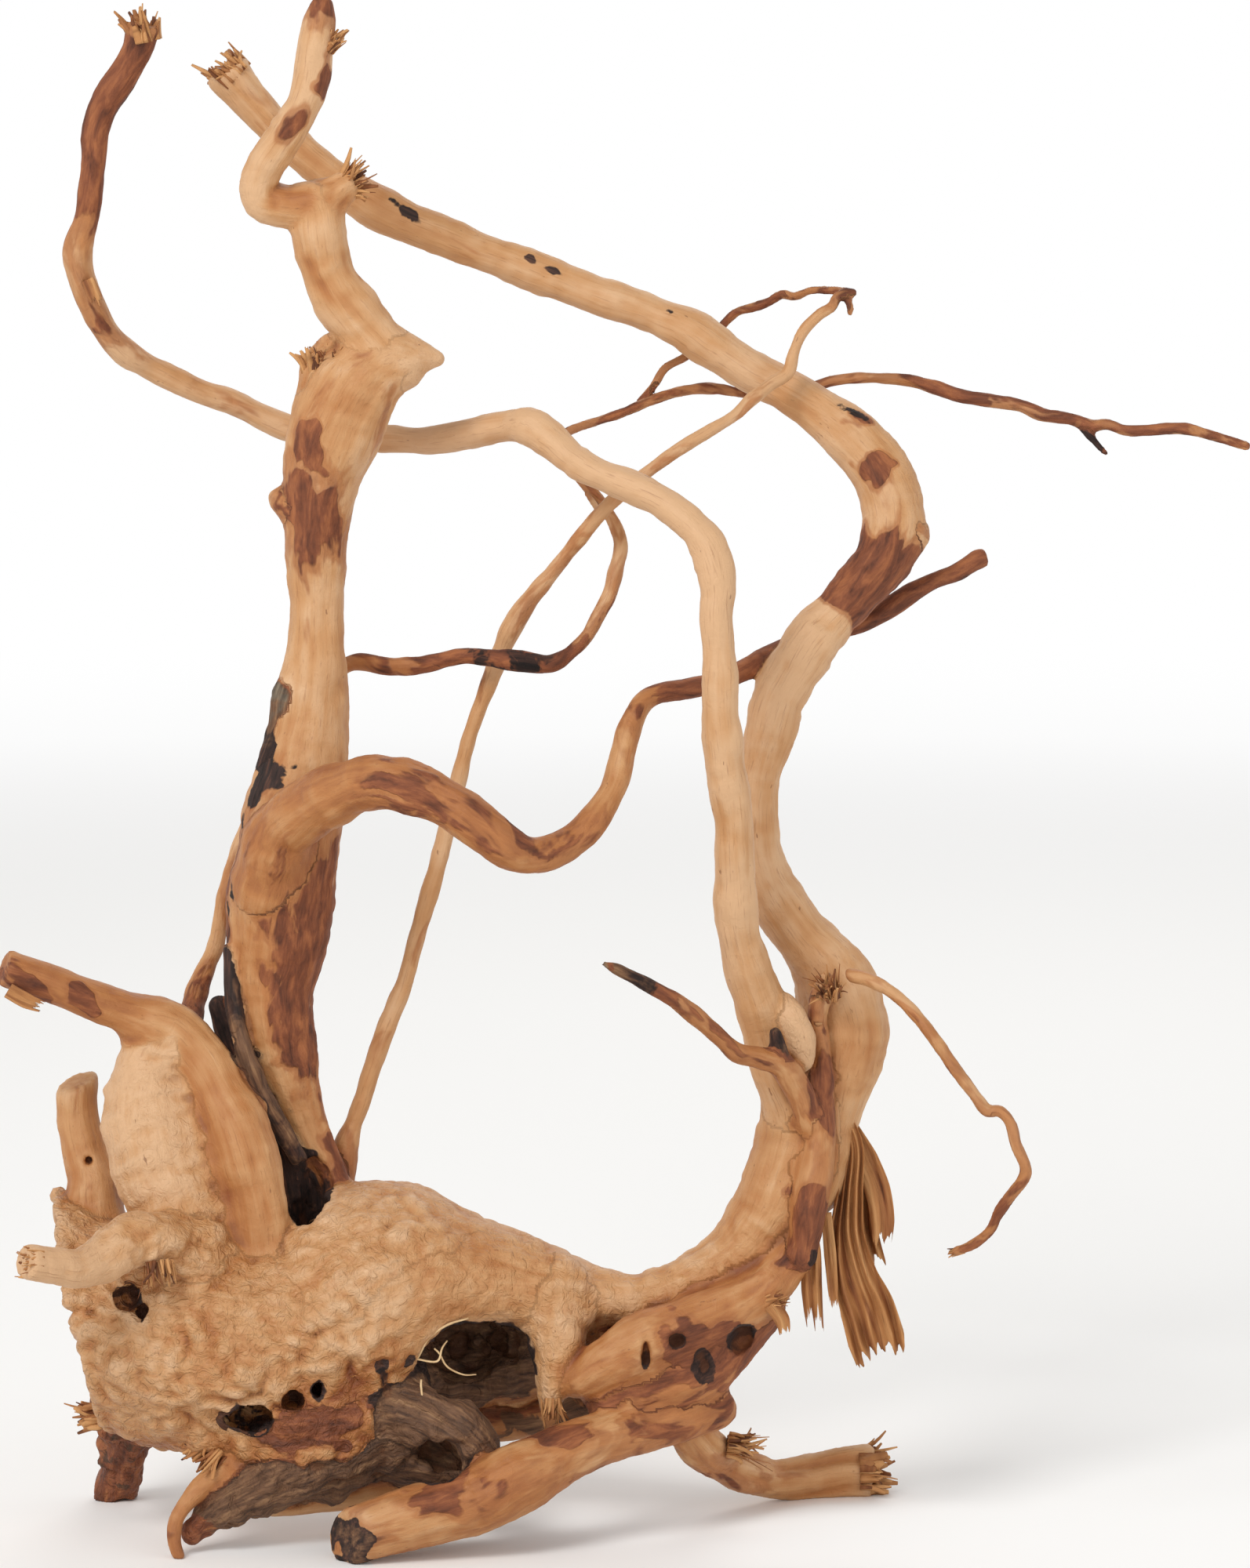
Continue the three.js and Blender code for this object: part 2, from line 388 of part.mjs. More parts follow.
// Sets splinters in a spiral over a torn end: each starts inside the wood and thins to a point.
function frayedEnd({ tip, heading, spread, count, length, thick }) {
  const along = new THREE.Vector3(...heading).normalize();
  const wide = new THREE.Vector3(along.y, -along.x, 0).normalize();
  const deep = new THREE.Vector3().crossVectors(wide, along);
  const pieces = [];
  for (let splinter = 0; splinter < count; splinter++) {
    const angle = splinter * GOLDEN_ANGLE;
    const radius = spread * Math.sqrt((splinter + 0.5) / count);
    const side = new THREE.Vector3()
      .addScaledVector(wide, Math.cos(angle) * radius)
      .addScaledVector(deep, Math.sin(angle) * radius);
    const reach = length * THREE.MathUtils.lerp(SPLINTER_SHORTEST, 1, random());
    const at = (distance, flare) => new THREE.Vector3(...tip)
      .addScaledVector(along, distance)
      .addScaledVector(side, flare)
      .toArray();
    pieces.push(limb([
      [...at(-SPLINTER_SUNK, 0.8), thick],
      [...at(0, 0.9), thick],
      [...at(reach, 1 + SPLINTER_FLARE * random()), thick * SPLINTER_POINT],
    ], { sides: 3 }));
  }
  return pieces;
}

// An egg-shaped hollow set by its place in the front view.
function hollow({ centre, half }) {
  const { point } = place(...centre);
  const egg = new THREE.SphereGeometry(1, HOLLOW_SIDES, HOLLOW_SIDES / 2);
  egg.scale(...half);
  egg.translate(point.x, point.y, point.z);
  return solidOf(egg);
}

// The block that the saw took off the stump's left side.
function sawnOff() {
  const low = place(...CUT_LOW, 0).point;
  const high = place(...CUT_HIGH, 0).point;
  const lean = Math.atan2(high.x - low.x, high.z - low.z);
  const block = new THREE.BoxGeometry(CUT_SIZE, CUT_SIZE, CUT_SIZE);
  block.translate(-CUT_SIZE / 2, 0, 0);
  block.rotateY(lean);
  block.translate(low.x, low.y, low.z);
  return solidOf(block);
}

// The block of floor that the root ends are worn flat against.
function floorBlock() {
  const block = new THREE.BoxGeometry(2 * VIEW_HEIGHT, 2 * VIEW_HEIGHT, CUT_SIZE);
  block.translate(0, 0, -CUT_SIZE / 2);
  return solidOf(block);
}

const stump = limb(STUMP, { through: 1.05, sides: 16, bump: BURL_LUMP })
  .add(limb(BRIDGE, { through: 1.05, sides: 12, bump: BURL_LUMP / 2 }))
  .add(limb(UNDER_BURL, { through: 1.1, sides: 14, bump: BURL_LUMP }))
  .add(limb(HOLLOW_BACK, { through: 0.9, sides: 10 }))
  .subtract(sawnOff());

const growths = [
  limb(LONG_LIMB), limb(ARCH_LIMB), limb(ARCH_KNOB), limb(TRUNK, { sides: 10 }), limb(TRUNK_SHOULDER),
  limb(TRUNK_KNOB), limb(TRUNK_SCAR), limb(UPPER_TRUNK, { finer: 1.6 }), limb(UPPER_STUB), limb(CROOKED_ARM), limb(TALL_STEM),
  limb(STEM_HOOK), limb(LOOP_TWIG), limb(LONG_TWIG), limb(TWIG_SPUR), limb(TWIG_THORN), limb(DROOPING_TWIG),
  limb(SNAG_TWIG), limb(SNAG_SPUR), limb(CLIMBING_ROOT), limb(CALLUS), limb(LEFT_ARM), limb(PALE_NECK),
  limb(SAWN_PEG), limb(FRONT_PEG), limb(SLOT_WALL), limb(RAGGED_ROOT, { bump: BURL_LUMP }), limb(TAN_ROOT),
  limb(TOE_ROOT), limb(BACK_FOOT, { bump: 1 }), limb(HOLLOW_LEG), limb(BACK_ROOT), limb(CURLED_EAR), limb(EAR_ROOT),
  limb(SADDLE_RIDGE), limb(SADDLE_BODY), limb(FRONT_LEG), limb(FRAYED_ROOT, { through: 0.7 }),
  ...TORN_STRIPS.flatMap(tornStrip),
  ...FRAYED_ENDS.flatMap(frayedEnd),
];

const grown = growths.reduce((whole, growth) => whole.add(growth), stump);
const eaten = HOLLOWS.reduce((whole, gap) => whole.subtract(hollow(gap)), grown);
const standing = eaten.subtract(floorBlock());

// Gives the fused root back as one mesh, with its middle over the origin.
function driftwoodMesh(solid) {
  const mesh = solid.getMesh();
  const geometry = new THREE.BufferGeometry();
  const positions = [];
  for (let i = 0; i < mesh.vertProperties.length; i += mesh.numProp) {
    positions.push(...mesh.vertProperties.slice(i, i + 3));
  }
  geometry.setAttribute("position", new THREE.Float32BufferAttribute(positions, 3));
  geometry.setIndex([...mesh.triVerts]);
  geometry.computeVertexNormals();
  const material = new THREE.MeshStandardMaterial({
    color: WOOD_COLOUR, roughness: WOOD_ROUGHNESS, metalness: 0,
  });
  const driftwood = new THREE.Mesh(geometry, material);
  driftwood.name = "driftwood";
  driftwood.position.set(-MIDDLE_X, -MIDDLE_Y, 0);
  return driftwood;
}

const group = new THREE.Group();
group.add(driftwoodMesh(standing));

export default group;
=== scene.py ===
import math

import bpy
import numpy as np
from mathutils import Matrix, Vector


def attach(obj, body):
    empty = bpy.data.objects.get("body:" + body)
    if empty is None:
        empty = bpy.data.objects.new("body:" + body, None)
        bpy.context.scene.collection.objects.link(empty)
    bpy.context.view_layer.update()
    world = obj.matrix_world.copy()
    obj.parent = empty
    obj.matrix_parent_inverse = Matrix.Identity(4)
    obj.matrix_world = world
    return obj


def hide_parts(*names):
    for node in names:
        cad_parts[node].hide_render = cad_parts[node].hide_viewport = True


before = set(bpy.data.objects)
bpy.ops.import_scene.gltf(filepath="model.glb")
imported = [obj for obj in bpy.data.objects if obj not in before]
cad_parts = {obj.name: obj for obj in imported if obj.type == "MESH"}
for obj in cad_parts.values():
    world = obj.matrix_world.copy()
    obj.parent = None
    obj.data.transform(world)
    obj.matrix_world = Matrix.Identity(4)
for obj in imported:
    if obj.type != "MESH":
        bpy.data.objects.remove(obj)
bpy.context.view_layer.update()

# Driftwood: a peeled root stump with crooked limbs, dressed over its plain solid.
# Shapes are worked out in millimetres and put into meshes in metres.
METRES = 0.001

# The front view that the limbs are set out in: 600 mm high, seen from a little above.
VIEW_HEIGHT = 600.0
EYE_DISTANCE = 2400.0
EYE_TILT = math.radians(6)
AIM_HEIGHT = 291.2
MIDDLE = np.array([0.3, -2.9, 0.0])
SENSOR = 36.0

# Routes hold [across, up, depth, radius] as seen from the front; depth grows away from the viewer.
LONG_LIMB = [
    [66, 176, 4, 12], [58, 194, 0, 11], [53, 211, -4, 9.5], [46.5, 231, -10, 8.8],
    [42.8, 246, -16, 8.2], [42, 266, -22, 8.1], [41.3, 288, -28, 8.1], [38.8, 306, -33, 7.5],
    [36.6, 326, -37, 7.2], [35.8, 345, -39, 6.7], [35, 364, -40, 6.5], [35, 378, -38, 7.3],
    [31, 392, -34, 7.1], [22, 402, -29, 6.7], [10, 410.3, -22, 6.3], [-10, 418.5, -12, 6.1],
    [-21, 425, -5, 6.2], [-29, 432, 1, 7.2], [-37, 436.8, 6, 7.6], [-48, 436.3, 14, 6.6],
    [-60, 434, 24, 5.6], [-74, 431.3, 34, 5.4], [-90, 432, 43, 5.2], [-112, 433.5, 50, 5.2],
    [-130, 436.7, 52, 5.2], [-150, 446, 50, 5.1], [-162, 450, 47, 4.9], [-180, 458.5, 40, 4.9],
    [-191, 465, 33, 5], [-199, 474, 27, 4.9], [-206, 488, 20, 5.2], [-209.5, 503, 14, 5.9],
    [-205.5, 519, 10, 4.7], [-203.2, 538, 7, 5], [-202.5, 551, 6, 5.4], [-198, 562, 4, 5.6],
    [-190.5, 573, 1, 5.8], [-186, 582, -1, 6.1], [-184.5, 591, -3, 6.6],
]
ARCH_LIMB = [
    [70, 150, 10, 14], [77, 168, 13, 11], [82, 184, 16, 12], [85, 205, 19, 16.5], [82, 219, 20, 16.5],
    [76, 232, 19, 13.5], [66, 244, 17, 12], [56.5, 258, 14, 10.2], [51, 272, 12, 9],
    [50, 286, 11, 8.4], [51, 300, 12, 8.3], [54, 314, 13, 9], [58.5, 331, 16, 10],
    [64.5, 343, 19, 10.2], [72, 355, 22, 11], [81.5, 365.5, 25, 9.6], [90.5, 376, 29, 9.6],
    [99, 387, 32, 11.2], [102.6, 400, 36, 11.7], [101, 411, 39, 12.2], [96, 422, 42, 12],
    [88, 431.5, 45, 10], [80, 438.5, 47, 9.2], [70, 445.5, 49, 8.8], [58, 452.7, 51, 8.3],
    [46, 459.5, 53, 8.3], [34, 467.5, 55, 8.8], [22, 475, 56, 8.2], [8, 480.5, 57, 8],
    [-10, 486.7, 57, 8], [-28, 493.5, 56, 8], [-48, 501, 54, 7.5], [-70, 509.6, 52, 7.6],
    [-90, 518, 49, 8.1], [-106, 527.5, 47, 7.6], [-120, 538.5, 45, 7.4], [-131, 548.5, 43, 7.2],
    [-141, 559.5, 41, 7.3], [-149, 569, 40, 8], [-152.5, 574, 39, 8.6],
]
ARCH_KNOB = [[100, 398, 35, 9], [108, 396, 35, 7.5], [113, 395, 35, 3]]
TRUNK = [
    [-112, 140, 16, 10], [-118, 160, 16, 8], [-123, 172, 15, 8.5], [-128, 186, 14, 11],
    [-133, 202, 13, 14.5], [-135, 218, 12, 17.5], [-133.5, 236, 11, 18.8], [-132, 254, 10, 20],
    [-129, 270, 8, 19.5], [-128, 285, 7, 19], [-123, 303, 7, 17.5], [-121, 318, 7, 15.5],
    [-119, 334, 7, 12.5], [-118.2, 352, 7, 11], [-118, 370, 6, 10.8], [-118, 386, 5, 12],
    [-117.5, 400, 4, 13.2], [-116, 414, 3, 14.8], [-113.5, 428, 2, 16], [-108, 442, 0, 17],
    [-101, 454, -2, 17], [-92, 462, -3, 12], [-80, 463.5, -4, 6.5], [-72.5, 463, -4, 3.5],
]
TRUNK_SHOULDER = [[-110, 432, 2, 13], [-112, 445, 2, 14], [-114, 458, 2, 10.5], [-113, 466, 2, 6]]
TRUNK_KNOB = [[-122, 404, 4, 9], [-130, 408, 4, 6], [-134, 410, 4, 2.5]]
TRUNK_SCAR = [
    [-122, 343, 6, 7], [-128, 332, 4, 7.5], [-129, 322, 4, 7], [-132, 312, 4, 8], [-136, 302, 5, 5],
]
UPPER_TRUNK = [
    [-86, 460, -3, 9], [-98, 473, -4, 11], [-105, 481.5, -5, 11], [-111.5, 491, -6, 10.4],
    [-115.3, 501, -7, 10.2], [-117, 512, -8, 10], [-119, 521, -8, 9.5], [-129, 521.5, -9, 8],
    [-138.5, 523.5, -10, 7.6], [-140, 530, -12, 7.3], [-136.5, 538, -14, 7.8], [-129, 549, -17, 7.3],
    [-123, 560, -20, 6.9], [-119.8, 571, -22, 6.8], [-118.5, 582, -24, 6.9], [-117, 591, -25, 6.7],
    [-116, 597, -25, 4.8],
]
UPPER_STUB = [[-120, 519, -8, 8.5], [-114, 524, -8, 8], [-108, 528.5, -8, 6.5], [-104, 530.5, -7, 5]]
CROOKED_ARM = [
    [-137, 262, -2, 13], [-132, 280, -12, 13], [-122, 289.5, -24, 11.8], [-109, 297, -37, 11.3],
    [-95, 300.7, -48, 10.7], [-80, 298.3, -56, 10.2], [-66, 291.5, -60, 9.5], [-53, 282, -61, 8.6],
    [-43, 275, -59, 7.6], [-34, 272.8, -55, 7.2], [-24, 276, -50, 6.5], [-15, 282.5, -45, 6.3],
    [-8.5, 291.5, -40, 6], [-3.5, 301, -34, 5.2], [-0.8, 312, -28, 4.6], [2, 322, -22, 4.6],
    [6.5, 331, -16, 4.3], [13, 334.7, -10, 3.9], [24, 336.5, -2, 3.9], [36, 339.5, 10, 4],
    [46, 344, 20, 4], [56, 350, 30, 4], [72, 356, 38, 3.6], [90, 361, 43, 3.3], [100, 366.5, 45, 3.9],
    [110, 373.3, 47, 4], [119, 378, 48, 3.5], [127, 381, 50, 4], [134, 385.5, 52, 4],
    [138.5, 387, 53, 3.4],
]
TALL_STEM = [
    [-110, 148, 26, 7], [-107.5, 160, 28, 5], [-104, 170, 29, 3.7], [-100.3, 180, 30, 3.4],
    [-97, 191, 30, 3.8], [-91, 208, 30, 3.6], [-84.5, 223.5, 30, 3.3], [-80, 240, 29, 3.1],
    [-75, 257, 28, 3.6], [-70.5, 273, 27, 3.7], [-65, 296, 27, 3], [-59.5, 318, 27, 2.9],
    [-52.5, 337, 27, 3.3], [-45.5, 355.5, 27, 3.9], [-38, 368.5, 25, 3.8], [-28.6, 380, 22, 3.1],
    [-19, 392, 19, 2.9], [-9, 404, 16, 2.8], [2, 414, 12, 2.6], [12, 422, 11, 2.4], [22, 429, 13, 2.7],
    [33, 435.5, 16, 2.5], [42, 441, 20, 2.5], [49, 447.5, 25, 2.8], [56, 453, 30, 2.7],
    [62.5, 457.5, 33, 2.6], [64.5, 465, 33, 2.4], [68, 473, 33, 2.4], [74, 479.3, 34, 2.3],
    [79, 482.5, 36, 2.3], [81.5, 486.5, 38, 2.1], [87, 488, 40, 1.9],
]
STEM_HOOK = [[84.5, 487.5, 40, 1.9], [86, 483, 38, 1.6], [86, 480.5, 37, 1.3]]
LOOP_TWIG = [
    [84, 488.5, 41, 1.8], [78, 489, 48, 1.6], [71, 488.8, 54, 1.7], [65, 486.5, 60, 1.7],
    [60, 487.3, 64, 1.8], [55, 484.5, 68, 1.8], [49, 482.3, 71, 1.9], [42, 480, 74, 1.9],
    [34, 472, 76, 1.7], [24, 464, 77, 1.6], [15.5, 459.2, 76, 1.8], [11.5, 453, 75, 1.7],
    [6, 446.3, 73, 1.9],
]
LONG_TWIG = [
    [-168, 204, 4, 6], [-166, 212, 18, 5], [-163.5, 221, 27, 4.4], [-160, 230, 32, 3.7],
    [-156, 240, 36, 3.1], [-153.5, 255, 39, 3], [-149.5, 270, 41, 3], [-144, 285, 42, 3],
    [-136, 303, 42, 3.1], [-127, 322, 40, 3.2], [-117, 338, 37, 3.3], [-104, 346.5, 32, 3.4],
    [-90, 345, 26, 3.6], [-77, 345.6, 20, 3.6], [-62, 349, 15, 3.5], [-50, 348, 12, 3.6],
    [-40, 347, 11, 4.2], [-29, 346, 12, 3.5], [-22, 349.5, 14, 2.9], [-15, 356, 16, 2.6],
    [-10.5, 364, 18, 2.7], [-6, 372.5, 20, 2.8], [-3.8, 381, 23, 2.8], [-1.5, 391, 28, 2.7],
    [-4, 399.5, 32, 2.5], [-9, 407.5, 36, 2.4], [-17, 417, 41, 2.3], [-25, 427, 46, 2.1],
    [-23, 434, 51, 1.9], [-10, 439, 59, 1.9], [0, 442.3, 65, 1.9], [10, 446.7, 70, 2.3],
    [22, 450.4, 75, 2.1], [34, 451.3, 78, 2], [50, 449, 80, 1.8], [68, 451, 79, 2],
    [80, 454.3, 78, 2.1], [92, 455.4, 76, 2.3], [108, 454.4, 72, 2.5], [118, 451.8, 69, 2.7],
    [130, 448.2, 66, 2.7], [150, 445, 60, 2.8], [160, 441.2, 57, 2.8], [170, 439.8, 54, 2.6],
    [178, 437, 52, 2.6], [184.5, 437.6, 50, 2.3], [191, 435.4, 48, 2.2], [200, 435.3, 46, 2.2],
    [208, 436, 44, 2.4], [216, 435.6, 42, 2.2], [228, 432.3, 39, 2.1], [237.5, 429.3, 36, 2.2],
]
TWIG_SPUR = [[176, 435.5, 52, 2], [181, 429.5, 50, 1.5], [184, 426.5, 49, 1.2]]
TWIG_THORN = [[-9, 403.5, 34, 1.6], [-12, 407.5, 33, 1.3], [-15, 411.5, 32, 0.8]]
DROOPING_TWIG = [
    [74, 220, 0, 3.6], [81, 226, -3, 2.8], [89, 226.2, -8, 2.7], [96, 223.8, -12, 2.6],
    [103, 219.5, -16, 2.6], [110, 213, -20, 2.5], [118, 203, -25, 2.5], [127, 190, -30, 2.5],
    [134.5, 180, -33, 2.4], [138.5, 175, -34, 2.6], [143.5, 174.7, -35, 2.4], [147.5, 170, -36, 2.5],
    [149.5, 162, -37, 2.4], [153, 154, -37, 2.3], [152.5, 149, -36, 2.3], [147.5, 142.5, -34, 2.1],
    [143, 136, -31, 2.1], [139.5, 129, -28, 2], [133, 123.7, -25, 1.9], [125, 120.7, -22, 1.6],
]
SNAG_TWIG = [
    [70, 172, -8, 5], [66, 183, -13, 5.5], [60, 192, -19, 5], [51, 195.2, -26, 4.5],
    [43, 197, -32, 3.9], [36, 203.3, -38, 3.5], [28, 210.3, -44, 3.3], [20, 216.7, -50, 3.3],
    [12, 221.3, -55, 3.1], [4, 225.6, -60, 2.9], [-3, 229, -64, 2.4], [-8, 231.2, -67, 1],
]
SNAG_SPUR = [[60.5, 192, -18, 4], [58.5, 200, -23, 3.2], [57.5, 204.5, -25, 2.5]]
CLIMBING_ROOT = [
    [68, 120, -12, 5.5], [71, 140, -11, 6.5], [74, 158, -8, 6.5], [75, 178, -4, 5], [75, 195, -1, 4],
    [73.5, 209, 0, 3.8], [75, 219, 0, 3.9], [77, 225, -1, 3],
]
CALLUS = [[61, 216, -6, 4], [64, 210, -9, 5.5], [67, 203, -10, 5.5], [67.5, 194, -8, 4]]
LEFT_ARM = [
    [-238, 229.5, -22, 7.8], [-222, 224.6, -17, 6.8], [-209, 219.3, -12, 7], [-197, 215, -7, 7.9],
    [-185, 211, -3, 8.8], [-172, 206.5, -1, 9.6], [-162, 196, -3, 9.8], [-155, 183, -7, 10.2],
    [-149, 170, -11, 12], [-144.5, 156, -14, 13], [-141, 142, -14, 11.8], [-139, 128, -12, 11.5],
    [-137, 100, -6, 16],
]
PALE_NECK = [
    [-176, 203, 0, 9], [-181, 192, 1, 14], [-182, 180, 0, 18], [-180, 168, -3, 19.3],
    [-176.5, 154, -7, 18.5], [-171, 140, -10, 18], [-165, 118, -10, 20],
]
SAWN_PEG = [
    [-209.5, 187, 22, 8.2], [-209, 172, 20, 8.3], [-206.5, 160, 18, 8.8], [-203.5, 149, 15, 10],
    [-203, 138, 12, 12], [-200, 118, 8, 14],
]
FRONT_PEG = [
    [-229.5, 117, -82, 7], [-218, 115.3, -74, 7.2], [-209, 114.5, -66, 7.8], [-200.5, 118, -57, 9.4],
    [-191, 124, -48, 10.6], [-181, 125.5, -39, 11], [-166, 122, -28, 13],
]
SLOT_WALL = [
    [-155, 215, 15, 4], [-148, 199, 16, 7], [-140, 181, 18, 10], [-131, 162, 20, 12],
    [-126, 142, 20, 14], [-124, 100, 10, 18],
]
STUMP = [
    [-230, 108, 12, 37], [-205, 98, 5, 38.5], [-180, 91, -1, 41], [-155, 88, -4, 42],
    [-131, 86, -5, 37], [-104, 88, -4, 28],
]
BRIDGE = [
    [-119, 98, -3, 31], [-103, 108, -1, 37], [-88, 115.5, 1, 32], [-72, 117, 4, 22], [-55, 114, 5, 17],
    [-40, 111.5, 5, 14], [-22, 107, 4, 12], [-5, 104, 3, 10.2], [8, 104, 3, 10.2], [20, 107, 3, 11],
    [32, 113, 4, 12.5], [44, 121, 5, 14.2], [53, 131, 6, 15.2], [59, 141, 7, 15.8], [63, 152, 8, 16.2],
    [66, 164, 9, 16.5], [67.5, 176, 10, 15], [68, 186, 10, 12],
]
UNDER_BURL = [[-192, 72, 2, 19], [-150, 60, -12, 22], [-120, 58, -16, 21], [-93, 62, -8, 20]]
RAGGED_ROOT = [
    [-92, 52, -12, 18], [-115, 42, -18, 15], [-135, 33, -25, 12], [-152, 24, -31, 9],
    [-166, 14, -36, 4.5],
]
TAN_ROOT = [[-78, 36, -2, 8], [-95, 31, -5, 7], [-115, 27, -10, 6], [-134, 24, -18, 5]]
TOE_ROOT = [
    [-150, 38, -26, 7], [-158, 34, -32, 5], [-166, 27, -38, 3.6], [-171.5, 19, -42, 2.9],
    [-172.5, 11, -44.5, 2.7], [-170.5, 3.4, -46, 2.4],
]
BACK_FOOT = [
    [-184, 80, 20, 20], [-189, 62, 38, 14], [-192, 46, 50, 8.6], [-193.5, 36, 56, 7.8],
    [-194.5, 26, 60, 8],
]
HOLLOW_LEG = [
    [-26, 104, -4, 12.5], [-26, 90, -9, 10.4], [-26, 80, -12, 9.3], [-27.5, 70, -14, 7],
    [-30, 61, -15, 3],
]
HOLLOW_BACK = [
    [-98, 84, 22, 24], [-74, 82, 28, 22], [-52, 82, 30, 20], [-30, 84, 24, 17], [-10, 88, 14, 14],
]
BACK_ROOT = [[-80, 60, 26, 10], [-60, 57, 30, 8], [-38, 57, 28, 6.5], [-15, 64, 20, 9], [8, 72, 6, 12]]
CURLED_EAR = [
    [-96, 62, -12, 15], [-82, 60, -20, 14], [-68, 53, -24, 14], [-59, 46, -24, 10.5],
    [-56, 40, -24, 6],
]
EAR_ROOT = [[-92, 50, -8, 17], [-80, 45, -12, 13], [-68, 41, -15, 10], [-56, 40, -16, 6]]
SADDLE_RIDGE = [
    [63, 118, -6, 8], [54, 108, -9, 9.5], [43, 101, -11, 10.5], [25, 93, -14, 12], [8, 86, -17, 12],
    [-6, 79, -19, 10], [-16, 72, -19, 7],
]
SADDLE_BODY = [
    [50, 100, 0, 10.5], [42, 90, -2, 11.5], [33, 80, -5, 12.5], [22, 74, -7, 14], [8, 70, -10, 13],
    [-6, 66, -13, 10],
]
FRONT_LEG = [
    [34, 62, -2, 9], [20, 57, -8, 9], [0, 52.5, -18, 9.8], [-20, 45.5, -29, 11], [-40, 35, -38, 12.8],
    [-55, 26.5, -43, 12.8], [-70, 22.5, -46, 12], [-85, 18, -49, 11.6], [-107, 11.4, -52.5, 11.2],
]
FRAYED_ROOT = [
    [22, 56, 2, 9], [30, 46, 14, 8.5], [40, 40, 32, 8.8], [55, 34.5, 50, 8], [70, 34.5, 60, 8.4],
    [84, 37, 64, 10], [94, 37, 66, 10.5],
]
BRIDGE_FILL = [
    [-118, 94, -14, 24], [-92, 103, -15, 24], [-70, 109, -9, 20], [-50, 109, -4, 16],
    [-30, 106, -2, 12],
]
SLOT_LIP = [
    [-151, 236, 0, 2.6], [-150, 216, -2, 3.4], [-145.5, 198, -3, 3.8], [-138, 180, -2, 3.8],
    [-128.5, 163, 1, 3.8], [-120, 148, 5, 3.6], [-115, 138, 8, 3],
]


def grown(route, through=1.0, blend=3.0, start_flat=False, end_flat=False, facing=None, **finish):
    """A limb to grow: its route, its depth as a share of its width, how softly it joins, which ends are
    sawn flat, which way the sawn face looks if not along the limb, and its finish along the route. A finish
    is one value, or pairs of route point and value."""
    return dict(route=route, through=through, blend=blend, start_flat=start_flat, end_flat=end_flat,
                facing=facing, finish=finish)


# What each finish says: bark is how much bark is left, dark how black the wood is, with painted shade
# added in and round the hollows and on the slot's back wall, grey how weathered, warm how orange the bare
# wood is, burl how lumpy it is, torn how fibrous and wrinkled how folded across.
FINISHES = ("bark", "dark", "grey", "warm", "burl", "torn", "wrinkled")

